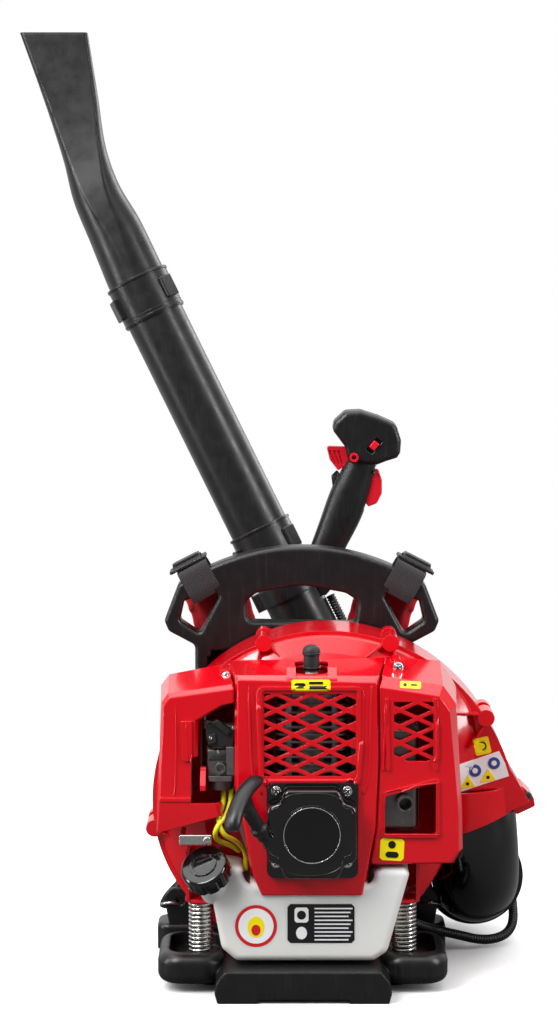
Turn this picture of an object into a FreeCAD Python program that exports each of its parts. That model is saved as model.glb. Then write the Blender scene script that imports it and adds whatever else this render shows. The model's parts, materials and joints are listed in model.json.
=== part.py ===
"""Backpack leaf blower, in millimetres.

Frame: +Z up, +Y towards the wearer's back pad, -Y towards the engine covers, +X towards the air outlet.
The origin is on the ground, under the middle of the backpack frame.
"""

import FreeCAD
import Part

import math
import os

from FreeCAD import Rotation
from FreeCAD import Vector as V

OUT_FOLDER = "parts"
X_AXIS, Y_AXIS, Z_AXIS = V(1, 0, 0), V(0, 1, 0), V(0, 0, 1)

# Driving dimensions.
AXIS_X, AXIS_Z = 9.0, 189.0          # crankshaft and fan axis, along Y
RIM_Y, SPLIT_Y, REAR_Y = 8.0, 48.0, 92.0   # fan housing: front rim, joint between halves, rear wall
DOME_Y, DOME_R = -30.0, 118.0        # front face of the housing's dome
WALL = 2.6                           # moulded shell thickness
FAN_R = 136.0
FRAME_HALF_W = 122.0                 # back frame below the strap ears
FRAME_FRONT_Y, FRAME_REAR_Y = 100.0, 134.0
FRAME_TOP_Z = 465.0
EAR_X, EAR_TOP_Z = 141.0, 422.0
BASE_TOP_Z = 34.0
ISOLATOR_Z = 318.0                   # the two rubber bushes behind the fan housing
TANK_FRONT_Y, TANK_REAR_Y = -106.0, -42.0
TANK_FLOOR_Z = 38.0
COVER_FRONT_Y = -110.0
STARTER_FRONT_Y = -140.0
BADGE_R, BADGE_Z = 30.5, 184.0
SPRING_X, SPRING_Y = 112.0, -40.0
SPRING_LOW_Z, SPRING_HIGH_Z = 31.0, 90.0
TUBE_R, TUBE_WALL = 35.0, 2.2
TUBE_START = V(88.7, 231.3, 190.0)   # lower end of the swivel tube
TUBE_AXIS = V(-0.4415, 0.0992, 0.8915).normalize()
LOWER_JOINT, UPPER_JOINT = 314.0, 646.0    # tops of the two bayonet sockets, along the tube axis
SOCKET_LENGTH = 45.0
SOCKET_GAP = 0.3
BAND_FROM, BAND_WIDTH = 222.0, 22.0  # the control handle's clamp band, along the tube axis
ELBOW_R = 49.0
ELBOW_START = V(193.5, 50.0, 157.0)
ELBOW_AXIS = V(0.083, 0.0, -0.9966).normalize()
ELBOW_BEND = 70.0
CUFF_Y0, CUFF_Y1 = 124.0, 138.0      # hose clamp around the elbow's end
CAP_AXIS = V(-0.30, -0.61, 0.73).normalize()
CAP_CENTRE = V(-103.0, -108.0, 137.0)
CAP_R = 26.0
ROPE_EXIT = V(-34.0, -126.0, 167.0)
ROPE_AXIS = V(-0.42, -0.43, 0.80).normalize()
ROPE_GUIDE = 16.0                    # how far the rope's guide stands out of the starter
PULLEY_POST_R, PULLEY_ROPE_R = 4.2, 27.0
RUNNING_FIT = 0.05                   # radial clearance of a shaft or pin in its hole
HANDLE_Y = 240.0                     # middle plane of the control handle

parts = {}


# ---------------------------------------------------------------- helpers
def corner_path(points, radii, closed=False):
    """Straight runs joined by tangent arcs, as one wire."""
    count = len(points)
    corners = range(count) if closed else range(1, count - 1)
    cuts = {}
    for i in corners:
        before, here, after = points[i - 1], points[i], points[(i + 1) % count]
        d1, d2 = (here - before).normalize(), (after - here).normalize()
        turn = d1.getAngle(d2)
        radius = radii[i] if isinstance(radii, (list, tuple)) else radii
        if turn < 1e-3 or radius <= 0:
            cuts[i] = (here, here, here)
            continue
        cut = radius * math.tan(turn / 2)
        inward = (d2 - d1).normalize()
        centre = here + inward * (radius / math.cos(turn / 2))
        cuts[i] = (here - d1 * cut, centre - inward * radius, here + d2 * cut)
    edges = []
    legs = range(count) if closed else range(count - 1)
    for i in legs:
        j = (i + 1) % count
        start = cuts[i][2] if i in cuts else points[i]
        end = cuts[j][0] if j in cuts else points[j]
        if (end - start).Length > 1e-4:
            edges.append(Part.LineSegment(start, end).toShape())
        if j in cuts and (cuts[j][2] - cuts[j][0]).Length > 1e-4:
            edges.append(Part.Arc(*cuts[j]).toShape())
    return Part.Wire(edges)


def xz_prism(points, y0, y1, radius=0.0):
    """A front-view outline extruded along Y."""
    outline = corner_path([V(x, y0, z) for x, z in points], radius, closed=True)
    return Part.Face(outline).extrude(V(0, y1 - y0, 0))


def xy_prism(points, z0, z1, radius=0.0):
    """A plan outline extruded along Z."""
    outline = corner_path([V(x, y, z0) for x, y in points], radius, closed=True)
    return Part.Face(outline).extrude(V(0, 0, z1 - z0))


def yz_prism(points, x0, x1, radius=0.0):
    """A side-view outline extruded along X."""
    outline = corner_path([V(x0, y, z) for y, z in points], radius, closed=True)
    return Part.Face(outline).extrude(V(x1 - x0, 0, 0))


def block(x0, x1, y0, y1, z0, z1):
    return Part.makeBox(x1 - x0, y1 - y0, z1 - z0, V(x0, y0, z0))


def rod(start, axis, radius, length):
    return Part.makeCylinder(radius, length, start, axis)


def ring(start, axis, outer, inner, length):
    bore = rod(start - axis, axis, inner, length + 2)
    return rod(start, axis, outer, length).cut(bore)


def fuse(*shapes):
    whole = shapes[0]
    if len(shapes) > 1:
        whole = shapes[0].multiFuse(list(shapes[1:]))
    return whole.removeSplitter()


def carve(shape, *tools):
    """Cuts with copies, because a cut may loosen the tolerances of its own tool."""
    for tool in tools:
        shape = shape.cut(tool.copy())
    return shape


def largest_solid(shape):
    """Drops the crumbs that a cut leaves beside the piece itself."""
    return max(shape.Solids, key=lambda s: s.Volume)


def mirror_x(shape):
    return shape.mirror(V(0, 0, 0), X_AXIS)


def turned(shape, centre, axis, degrees):
    copy = shape.copy()
    copy.rotate(centre, axis, degrees)
    return copy


def soften(shape, radius, pick=None):
    """Rounds the picked edges with the largest radius, up to the given one, that gives a valid solid."""
    edges = [e for e in shape.Edges if pick is None or pick(e)]
    for share in (1.0, 0.6, 0.3):
        try:
            rounded = shape.makeFillet(radius * share, edges)
            if rounded.isValid() and rounded.Volume > 0.5 * shape.Volume:
                return rounded
        except Exception:
            continue
    print("left sharp", round(radius, 1))
    return shape


def inset(points, gap):
    """A polygon, given anticlockwise, moved inwards by gap."""
    moved = []
    for i, (x, z) in enumerate(points):
        (px, pz), (nx, nz) = points[i - 1], points[(i + 1) % len(points)]
        a = V(x - px, z - pz, 0).normalize()
        b = V(nx - x, nz - z, 0).normalize()
        na, nb = V(-a.y, a.x, 0), V(-b.y, b.x, 0)
        middle = (na + nb).normalize()
        reach = gap / max(0.3, middle.dot(na))
        moved.append((x + middle.x * reach, z + middle.y * reach))
    return moved


def frustum(stations):
    """A ruled solid through front-view polygons given as (y, points)."""
    wires = []
    for y, points in stations:
        vectors = [V(x, y, z) for x, z in points]
        wires.append(Part.makePolygon(vectors + [vectors[0]]))
    return Part.makeLoft(wires, True, True)


def closed_curve(points):
    curve = Part.BSplineCurve()
    curve.interpolate(points, PeriodicFlag=True)
    return Part.Wire([curve.toShape()])


def oval(centre, across, depth, half_w, half_d, power=2.0, count=24):
    """A superellipse: power 2 is an ellipse, and a higher power is nearer a rounded rectangle."""
    points = []
    for k in range(count):
        t = 2 * math.pi * k / count
        c, s = math.cos(t), math.sin(t)
        u = math.copysign(abs(c) ** (2 / power), c) * half_w
        w = math.copysign(abs(s) ** (2 / power), s) * half_d
        points.append(centre + across * u + depth * w)
    return closed_curve(points)


def sweep(path, radius):
    """A round bar along a wire of lines and arcs."""
    first = path.OrderedEdges[0]
    start = first.valueAt(first.FirstParameter)
    heading = first.tangentAt(first.FirstParameter)
    profile = Part.Wire([Part.Circle(start, heading, radius).toShape()])
    return path.makePipeShell([profile], True, False)


def easy_radii(points):
    """For each inner point of a route, the largest arc that its two runs allow."""
    radii = [0.0] * len(points)
    for i in range(1, len(points) - 1):
        a, b = points[i] - points[i - 1], points[i + 1] - points[i]
        radii[i] = 0.45 * min(a.Length, b.Length) / math.tan(a.getAngle(b) / 2)
    return radii


def cord(name, points, radius):
    radii = easy_radii(points)
    path = corner_path(points, radii)
    solid = sweep(path, radius)
    expected = math.pi * radius ** 2 * path.Length
    print(name, "length", round(path.Length, 1), "radii", [round(r, 1) for r in radii[1:-1]],
          "volume ratio", round(solid.Volume / expected, 4))
    return solid


def along_tube(distance):
    return TUBE_START + TUBE_AXIS * distance


def pan_head(centre, axis, radius, height):
    """A cross-recessed screw head, its outer face along axis."""
    head = rod(centre, axis, radius, height)
    head = soften(head, height * 0.45, lambda e: (e.CenterOfMass - centre).dot(axis) > height * 0.9)
    side = axis.cross(Z_AXIS if abs(axis.z) < 0.9 else X_AXIS).normalize()
    up = axis.cross(side)
    for direction in (side, up):
        other = up if direction is side else side
        corner = centre + axis * (height * 0.45) - direction * (radius * 0.6) - other * 0.5
        points = [corner, corner + direction * (radius * 1.2),
                  corner + direction * (radius * 1.2) + other, corner + other]
        recess = Part.Face(Part.makePolygon(points + [points[0]])).extrude(axis * height)
        head = head.cut(recess)
    return head


# ---------------------------------------------------------------- backpack frame
def make_base_tray():
    front = xz_prism([(-92, 0), (92, 0), (95, 11), (93, 22), (84, BASE_TOP_Z), (-84, BASE_TOP_Z),
                      (-93, 22), (-95, 11)], -135, -45, [2, 2, 6, 6, 5, 5, 6, 6])
    floor = xy_prism([(-112, -60), (112, -60), (112, 100), (-112, 100)], 0, 12, 8)
    loop = xy_prism([(-158, -98), (-84, -98), (-84, 20), (-158, 20)], 9, 42, 26)
    loop = soften(loop, 11)
    well = xy_prism([(-146, -82), (-90, -82), (-90, 8), (-146, 8)], 27, 60, 20)
    rear = xy_prism([(-166, 88), (166, 88), (166, 142), (-166, 142)], 0, 30, 14)
    rear = soften(rear, 5, lambda e: e.BoundBox.ZMin > 29)
    link = block(-112, -90, 10, 92, 0, 12)
    tray = fuse(front, floor, rear, loop, mirror_x(loop), link, mirror_x(link))
    under = xy_prism([(-80, -122), (80, -122), (80, -66), (-80, -66)], -5, 18, 8)
    feet_gap = block(-48, 50, -140, -66, -5, 4)
    tray = carve(tray, under, feet_gap, well, mirror_x(well))
    seat = rod(V(-SPRING_X, SPRING_Y, 26), Z_AXIS, 16, SPRING_LOW_Z - 26.0)
    housing_room = block(-75, 85, 60, 96, 13, 60)
    return fuse(tray, seat, mirror_x(seat)).cut(housing_room)


def frame_outline():
    """Right half of the frame's front view, from the top centre clockwise."""
    side = [(EAR_X, EAR_TOP_Z), (157, 380), (152, 368), (FRAME_HALF_W, 352), (FRAME_HALF_W, 140),
            (150, 60), (150, 30)]
    left = [(-x, z) for x, z in reversed(side)]
    return side + left


def make_back_frame():
    side = frame_outline()
    edges = []
    points = [V(x, 0, z) for x, z in side]
    for a, b in zip(points, points[1:]):
        edges.append(Part.LineSegment(a, b).toShape())
    edges.append(Part.Arc(points[-1], V(0, 0, FRAME_TOP_Z), points[0]).toShape())
    outline = Part.Face(Part.Wire(edges))
    outline.translate(V(0, FRAME_FRONT_Y, 0))
    body = outline.extrude(V(0, FRAME_REAR_Y - FRAME_FRONT_Y, 0))
    upright = lambda e: abs(e.tangentAt(e.FirstParameter).y) > 0.99
    body = soften(body, 7, upright)
    window = xz_prism([(-62, 379), (62, 377), (65, 402), (50, 412), (0, 421), (-52, 412), (-64, 402)],
                      80, 160, [7, 7, 9, 20, 60, 20, 9])
    slot = xz_prism([(90, 416), (134, 403), (139, 380), (117, 365)], 80, 160, [5, 4, 5, 5])
    breathing_space = block(-104, 104, 80, 120, 40, 344)
    body = carve(body, breathing_space, window, slot, mirror_x(slot))
    side_relief = block(-108, -99, 80, 112, 44, 340)
    body = carve(body, side_relief, mirror_x(side_relief))
    outer_rim = lambda e: (abs(e.BoundBox.YMin - e.BoundBox.YMax) < 0.01 and e.BoundBox.ZMin > 342)
    body = soften(body, 5, outer_rim)
    for z in (150, 210, 270):
        vent = xz_prism([(-70, z), (70, z), (70, z + 26), (-70, z + 26)], 100, 150, 12)
        body = body.cut(vent)
    for x in (-82, 96):
        body = body.cut(rod(V(x, 80, ISOLATOR_Z), Y_AXIS, 17, 40))
    cuff_room = block(139, 170, 60, 160, 20, 144)
    return body.cut(cuff_room)


def make_frame_bolts():
    bolts = [rod(V(x, 126, 0.5), Z_AXIS, 3, 49.5) for x in (-130, -60, 60, 130)]
    return [fuse(b, rod(V(b.CenterOfMass.x, 126, 0.5), Z_AXIS, 6, 4)) for b in bolts]


# ---------------------------------------------------------------- harness
PAD_TILT = 16.0
PAD_W = 82.0
SLIDER_SLOPE = 27.0
WEBBING_X = 125.0
EAR_SLOPE = 29.0                     # of the frame's top edge under the webbing


def make_back_cushion():
    pad = xz_prism([(-98, 118), (98, 118), (104, 325), (-104, 325)], 134.4, 151, 30)
    return soften(pad, 6, lambda e: e.BoundBox.YMin > 150.5)


def make_shoulder_pad():
    """The right-hand pad, a thick band that hangs behind the frame and leans inwards on the way down."""
    front = [V(0, 140, 428), V(0, 154, 380), V(0, 160, 300), V(0, 162, 220), V(0, 157, 128)]
    back = [p + V(0, 12, 0) for p in reversed(front)]
    outline = corner_path(front + back, [3, 60, 150, 150, 3, 3, 150, 150, 60, 3], closed=True)
    outline.translate(V(-PAD_W / 2, 0, 0))
    band = Part.Face(outline).extrude(V(PAD_W, 0, 0))
    band = turned(band, V(0, 150, 430), Y_AXIS, PAD_TILT)
    band.translate(V(106, 0, 0))
    return band.cut(block(-60, 0.4, 100, 200, 0, 500))


def make_webbing():
    """The right-hand webbing: a loop round the ear's top bar, and the lower strap down to the hook."""
    thick, wide = 2.0, 38.0
    gap = 0.4
    y0, y1 = FRAME_FRONT_Y - gap, FRAME_REAR_Y + gap
    top = EAR_TOP_Z + 16
    low = top - 38
    x0, x1 = WEBBING_X - wide / 2, WEBBING_X + wide / 2
    outer = yz_prism([(y0 - thick, low), (y1 + thick, low), (y1 + thick, top + thick + gap),
                      (y0 - thick, top + thick + gap)], x0, x1, [1, 1, 7, 7])
    inner = yz_prism([(y0, low - 5), (y1, low - 5), (y1, top + gap), (y0, top + gap)], x0 - 5, x1 + 5,
                     [0, 0, 5, 5])
    loop = turned(outer.cut(inner), V(WEBBING_X, 0, top), Y_AXIS, EAR_SLOPE)
    lower = yz_prism([(160, 134), (146, 70), (148, 70), (162, 134)], 84, 122)
    return [loop, lower]


def make_sliders():
    """Flat three-bar buckles that the webbing runs through, behind the ears."""
    frame = block(-23, 23, 0, 30, 0, 4)
    slots = [block(-20, 20, 4, 12, -1, 5), block(-20, 20, 18, 26, -1, 5)]
    buckle = soften(carve(frame, *slots), 1.2, lambda e: e.Length > 25)
    right = turned(buckle, V(0, 0, 0), Y_AXIS, SLIDER_SLOPE)
    right.translate(V(WEBBING_X + 4, 103, EAR_TOP_Z + 20.4))
    return [right, mirror_x(right)]


def make_hooks():
    """Lower strap anchors: a tab that stands on the tray's rear foot, with a wire ring through it."""
    tab = xz_prism([(-152, 28), (-128, 28), (-128, 72), (-150, 72), (-158, 62)], 90, 95, [2, 2, 6, 6, 6])
    hole = rod(V(-140, 80, 57), Y_AXIS, 5, 30)
    wire_ring = Part.makeTorus(12, 1.6, V(-150, 97.5, 50), V(0, 0.5, 1))
    tab = carve(tab, hole)
    return tab, wire_ring


# ---------------------------------------------------------------- fan housing
def volute_radius(turn):
    """Outer radius at an angle in degrees, clockwise from the left in the front view."""
    return 176 + 0.06 * turn + 0.00135 * max(turn, 0.0) ** 2


def polar(radius, turn, y):
    angle = math.radians(180 - turn)
    return V(AXIS_X + radius * math.cos(angle), y, AXIS_Z + radius * math.sin(angle))


TONGUE_TURN, THROAT_TURN = -162.0, 170.0


def volute_face(y, shrink):
    """The spiral outline, closed by the slanting outlet plane."""
    steps = 24
    span = THROAT_TURN - TONGUE_TURN
    points = []
    for k in range(steps + 1):
        turn = TONGUE_TURN + span * k / steps
        points.append(polar(volute_radius(turn) - shrink, turn, y))
    spiral = Part.BSplineCurve()
    spiral.interpolate(points)
    outlet_right = V(254 - shrink, y, 188)
    outlet_left = V(160, y, 150 + shrink * 0.5)
    edges = [spiral.toShape()]
    chain = [points[-1], outlet_right, outlet_left, points[0]]
    for a, b in zip(chain, chain[1:]):
        edges.append(Part.LineSegment(a, b).toShape())
    return Part.Face(Part.Wire(edges))


def dome(shrink):
    """The front of the housing, narrowing from the rim to the engine's mounting face."""
    def loop(y, radius_of):
        return closed_curve([polar(radius_of(t) - shrink, t, y) for t in range(-180, 180, 12)])

    def rim_radius(turn):
        held = max(-150, min(150, turn))
        return volute_radius(held) - 4 - max(0.0, turn - 150) * 1.6

    def radius_at(share):
        return lambda turn: rim_radius(turn) * (1 - share) + DOME_R * share

    stations = [loop(RIM_Y + 6, radius_at(0.0))]
    for back_from_face, share in ((39, 0.0), (35, 0.04), (31, 0.12), (24, 0.26), (16, 0.44), (9, 0.64),
                                  (4, 0.82), (0, 1.0)):
        stations.append(loop(DOME_Y + back_from_face + shrink, radius_at(share)))
    return Part.makeLoft(stations, True, True)


def collar(radius):
    start = ELBOW_START - ELBOW_AXIS * 45
    return rod(start, ELBOW_AXIS, radius, 90)


def outlet_trim():
    """Everything below the slanting outlet plane."""
    a, b = V(120, -50, 132), V(300, -50, 204)
    points = [a, b, V(300, -50, -50), V(120, -50, -50)]
    return Part.Face(Part.makePolygon(points + [points[0]])).extrude(V(0, 200, 0))


BOSS_TURNS = (-8.8, 74.0, 116.0, 153.5)


def boss(turn, radius, y0, y1):
    centre = polar(volute_radius(turn), turn, y0)
    return rod(centre, Y_AXIS, radius, y1 - y0)


def gussets(turn):
    """Two thin webs that tie a screw boss back to the dome."""
    webs = []
    for lean in (-4.2, 4.2):
        tip = polar(volute_radius(turn) + 7, turn, RIM_Y - 10)
        foot = polar(volute_radius(turn) - 30, turn + lean * 1.6, RIM_Y - 14)
        heel = polar(volute_radius(turn) - 30, turn + lean * 1.6, RIM_Y + 6)
        top = polar(volute_radius(turn) + 7, turn, RIM_Y + 6)
        web = Part.Face(Part.makePolygon([tip, foot, heel, top, tip]))
        normal = (foot - tip).cross(heel - tip).normalize()
        web.translate(normal * -1.1)
        webs.append(web.extrude(normal * 2.2))
    return webs


def outlet_lug(y0, y1):
    return xz_prism([(236, 207), (248, 203), (259, 192), (261, 182), (240, 172), (228, 190)], y0, y1, 3)


def housing_shell():
    """Outer and inner solids shared by the two halves."""
    outer = volute_face(RIM_Y, 0.0).extrude(V(0, REAR_Y - RIM_Y, 0))
    inner = volute_face(RIM_Y + 6, WALL + 0.4).extrude(V(0, REAR_Y - RIM_Y - 9, 0))
    outer = outer.fuse(collar(ELBOW_R + 5.5)).cut(outlet_trim())
    return outer, inner.fuse(collar(ELBOW_R + 0.4))


def make_housing_front(outer, inner, screws):
    keep = block(-400, 400, -100, SPLIT_Y, -100, 500)
    solids = [outer, dome(0.0)] + [boss(t, 9.5, RIM_Y - 12, RIM_Y + 22) for t in BOSS_TURNS]
    for t in BOSS_TURNS:
        solids += gussets(t)
    solids.append(outlet_lug(22, SPLIT_Y))
    body = fuse(*solids).common(keep)
    hollow_dome = dome(WALL)
    shaft_hole = rod(V(AXIS_X, DOME_Y - 10, AXIS_Z), Y_AXIS, 22, 60)
    body = carve(body, inner, hollow_dome, shaft_hole)
    return largest_solid(carve(body, *screws))


def make_housing_rear(outer, inner, screws):
    keep = block(-400, 400, SPLIT_Y, REAR_Y, -100, 500)
    body = outer.fuse([boss(t, 9.5, SPLIT_Y, SPLIT_Y + 20) for t in BOSS_TURNS]
                      + [outlet_lug(SPLIT_Y, 74)]).common(keep)
    body = body.removeSplitter()
    intake = rod(V(AXIS_X, 60, AXIS_Z), Y_AXIS, 82, 60)
    bars = []
    for k in range(-7, 8):
        half = math.sqrt(max(0.0, 84 ** 2 - (k * 11) ** 2))
        bars.append(block(AXIS_X - half, AXIS_X + half, REAR_Y - 4, REAR_Y,
                          AXIS_Z + k * 11 - 1.6, AXIS_Z + k * 11 + 1.6))
    bars.append(block(AXIS_X - 2, AXIS_X + 2, REAR_Y - 4, REAR_Y, AXIS_Z - 84, AXIS_Z + 84))
    body = carve(body, inner, intake)
    body = fuse(body, *bars)
    return carve(body, *screws)


def make_housing_screws():
    """Screws through the rim bosses, from the rear, and the outlet clamp's socket screw."""
    screws = []
    for t in BOSS_TURNS:
        centre = polar(volute_radius(t), t, SPLIT_Y - 14)
        shank = rod(centre, Y_AXIS, 2.4, 34)
        screws.append(fuse(shank, rod(centre + Y_AXIS * 34, Y_AXIS, 4.6, 3.4)))
    head = rod(V(252, 17, 194), Y_AXIS, 4.8, 5)
    socket = rod(V(252, 16, 194), Y_AXIS, 2.4, 4)
    screws.append(fuse(head.cut(socket), rod(V(252, 22, 194), Y_AXIS, 2.8, 48)))
    return screws


# ---------------------------------------------------------------- rotor
def make_impeller():
    plate = rod(V(AXIS_X, 16, AXIS_Z), Y_AXIS, FAN_R, 2.5)
    hub = rod(V(AXIS_X, 16, AXIS_Z), Y_AXIS, 20, 34)
    blades = []
    for k in range(14):
        start = k * 360 / 14
        points = []
        for s in range(4):
            share = s / 3
            angle = math.radians(start - 38 * share)
            radius = 44 + (FAN_R - 46) * share
            points.append(V(AXIS_X + radius * math.cos(angle), 18, AXIS_Z + radius * math.sin(angle)))
        curve = Part.BSplineCurve()
        curve.interpolate(points)
        strip = curve.toShape().extrude(V(0, 52, 0))
        blades.append(strip.makeOffsetShape(2.4, 0.01, fill=True))
    wheel = fuse(plate, hub, *blades)
    bore = rod(V(AXIS_X, 0, AXIS_Z), Y_AXIS, 8.0, 80)
    return wheel.cut(bore)


def make_crankshaft():
    shaft = rod(V(AXIS_X, -111, AXIS_Z), Y_AXIS, 8, 157)
    web = rod(V(AXIS_X, -82, AXIS_Z), Y_AXIS, 29, 8)
    other = rod(V(AXIS_X, -64, AXIS_Z), Y_AXIS, 29, 8)
    pin = rod(V(AXIS_X, -76, AXIS_Z + 16), Y_AXIS, 7, 14)
    nut = Part.Face(Part.makePolygon([V(AXIS_X + 12 * math.cos(math.radians(60 * k)), 50.2,
                                        AXIS_Z + 12 * math.sin(math.radians(60 * k)))
                                      for k in range(7)])).extrude(V(0, 8, 0))
    thread = rod(V(AXIS_X, 45, AXIS_Z), Y_AXIS, 6, 13)
    between = rod(V(AXIS_X, -74, AXIS_Z), Y_AXIS, 9, 10)
    return fuse(shaft.cut(between), web, other, pin, thread, nut)


def make_flywheel():
    rim = ring(V(AXIS_X, -24, AXIS_Z), Y_AXIS, 46, 8.0, 12)
    magnets = [turned(block(AXIS_X - 9, AXIS_X + 9, -26.5, -24, AXIS_Z + 32, AXIS_Z + 44),
                      V(AXIS_X, 0, AXIS_Z), Y_AXIS, a) for a in (0, 180)]
    return fuse(rim, *magnets)


# ---------------------------------------------------------------- engine
CYL_X, CYL_Y = AXIS_X, -69.0


def make_crankcase():
    barrel = rod(V(AXIS_X, -100, AXIS_Z), Y_AXIS, 40, 62)
    deck = block(AXIS_X - 32, AXIS_X + 32, -98, -42, AXIS_Z, 226)
    flange = xz_prism([(AXIS_X - 50, AXIS_Z - 44), (AXIS_X + 50, AXIS_Z - 44), (AXIS_X + 50, AXIS_Z + 40),
                       (AXIS_X - 50, AXIS_Z + 40)], -38, DOME_Y, 12)
    case = fuse(barrel, deck, flange)
    hollow = rod(V(AXIS_X, -90, AXIS_Z), Y_AXIS, 32, 42)
    bore = rod(V(AXIS_X, -101, AXIS_Z), Y_AXIS, 15, 90)
    sleeve = rod(V(CYL_X, CYL_Y, AXIS_Z), Z_AXIS, 23, 60)
    plate = xz_prism([(-77, 205), (-54, 136), (-30, 136), (-30, 200), (-60, 222)], -92, -86, 4)
    plate_holes = [rod(V(x, -100, z), Y_AXIS, 3, 20) for x, z in ((-69, 203), (-57, 150))]
    return [carve(case, hollow, bore, sleeve), carve(plate, *plate_holes)]


def make_bearings():
    return [ring(V(AXIS_X, y, AXIS_Z), Y_AXIS, 15, 8.02, 8) for y in (-98.5, -47.5)]


def make_cylinder():
    barrel = rod(V(CYL_X, CYL_Y, 226), Z_AXIS, 26, 100)
    head = rod(V(CYL_X, CYL_Y, 318), Z_AXIS, 20, 14)
    fins = [xy_prism([(-30, -100), (48, -100), (48, -38), (-30, -38)], z, z + 2.2, 10)
            for z in range(236, 330, 8)]
    studs = [rod(V(x, y, 226), Z_AXIS, 4, 104) for x in (-16, 34) for y in (-96, -46)]
    whole = fuse(barrel, head, *fins, *studs)
    bore = rod(V(CYL_X, CYL_Y, 220), Z_AXIS, 20.05, 92)
    plug_hole = rod(V(CYL_X, CYL_Y, 300), Z_AXIS, 7, 60)
    return carve(whole, bore, plug_hole)


def make_piston():
    crown = rod(V(CYL_X, CYL_Y, 262), Z_AXIS, 20, 36)
    skirt = rod(V(CYL_X, CYL_Y, 255), Z_AXIS, 17, 36)
    pin_hole = rod(V(CYL_X, CYL_Y - 30, 272), Y_AXIS, 5, 60)
    grooves = [ring(V(CYL_X, CYL_Y, z), Z_AXIS, 21, 18.8, 1.2) for z in (288, 293)]
    return carve(crown, skirt, pin_hole, *grooves)


def make_spark_plug():
    body = rod(V(CYL_X, CYL_Y, 314), Z_AXIS, 6.9, 20)
    hexagon = Part.Face(Part.makePolygon([V(CYL_X + 10 * math.cos(math.radians(60 * k)),
                                            CYL_Y + 10 * math.sin(math.radians(60 * k)), 332.2)
                                          for k in range(7)])).extrude(V(0, 0, 9))
    insulator = rod(V(CYL_X, CYL_Y, 341), Z_AXIS, 5, 16)
    terminal = rod(V(CYL_X, CYL_Y, 357), Z_AXIS, 3, 6)
    return fuse(body, hexagon, insulator, terminal)


def make_spark_plug_boot(plug):
    skirt = rod(V(CYL_X, CYL_Y, 350), Z_AXIS, 8.6, 18)
    cap = rod(V(CYL_X, CYL_Y, 367), Z_AXIS, 9.6, 11)
    cap = soften(cap, 7.5, lambda e: e.BoundBox.ZMin > 377)
    cavity = rod(V(CYL_X, CYL_Y, 340), Z_AXIS, 5.2, 17.2)
    seat = rod(V(CYL_X, CYL_Y, 357), Z_AXIS, 3.2, 6.4)
    return carve(fuse(skirt, cap), cavity, seat)


def make_muffler():
    can = soften(block(72, 124, -100, -46, 180, 292), 7)
    seam = block(70.5, 125.5, -74, -71, 179, 293)
    seam = soften(seam, 5, lambda e: abs(e.tangentAt(e.FirstParameter).y) > 0.99)
    pipe = rod(V(107, -98, 214), V(0.10, -1, -0.06).normalize(), 8.6, 19)
    flange = block(52, 72, -88, -56, 246, 280)
    can = fuse(can, seam, pipe, flange)
    bore = rod(V(107, -95, 214), V(0.10, -1, -0.06).normalize(), 6.8, 30)
    return can.cut(bore)


def make_carburettor():
    body = soften(block(-104, -74, -92, -58, 234, 268), 3)
    bowl = rod(V(-89, -75, 222), Z_AXIS, 13, 12)
    valve = rod(V(-89, -75, 268), Z_AXIS, 14, 16)
    arm = turned(soften(block(-108, -70, -86, -64, 284, 296), 3), V(-89, -75, 290), Y_AXIS, 14)
    inlet = rod(V(-89, -98, 248), Y_AXIS, 6, 8)
    whole = fuse(body, bowl, valve, arm, inlet)
    return carve(whole, rod(V(-89, -99, 248), Y_AXIS, 4, 6), rod(V(-110, -75, 251), X_AXIS, 9, 60))


def make_choke_lever():
    hub = rod(V(-110.5, -96.5, 246), X_AXIS, 4, 6)
    arm = yz_prism([(-100, 247), (-96, 242), (-104, 226), (-112, 226), (-112, 232)], -110.5, -104.6, 1)
    return fuse(hub, arm)


def make_intake_manifold():
    flange = block(-74, -68, -92, -58, 236, 266)
    tube = rod(V(-68, -75, 251), X_AXIS, 14, 36)
    whole = fuse(flange, tube)
    return whole.cut(rod(V(-75, -75, 251), X_AXIS, 9, 50))


def make_ignition_coil():
    legs = xz_prism([(-8, 237), (26, 237), (26, 262), (-8, 262)], -24, -14)
    window = block(0, 18, -26, -12, 230, 248)
    core = block(-4, 22, -27, -10, 250, 272)
    return fuse(carve(legs, window), core)


# ---------------------------------------------------------------- covers
ENGINE_FRONT = [(-44, 112), (63, 112), (77, 185), (80, 262), (78, 343), (-70, 346), (-71, 230), (-53, 133)]
ENGINE_BROW = [(-46, 110), (65, 110), (79.5, 185), (82.5, 262), (81, 349), (-73, 350), (-74, 230), (-55, 131)]
ENGINE_REAR = [(-54, 106), (74, 106), (86, 185), (90, 262), (90, 355), (-80, 352), (-82, 230), (-63, 128)]
BROW_Y = COVER_FRONT_Y + 9


def engine_block(gap):
    """The engine cover's envelope, or its hollow where gap is the wall."""
    last = -12 if gap == 0 else -11
    return frustum([(COVER_FRONT_Y + gap, inset(ENGINE_FRONT, gap)), (BROW_Y, inset(ENGINE_BROW, gap)),
                    (last, inset(ENGINE_REAR, gap))])


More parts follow.
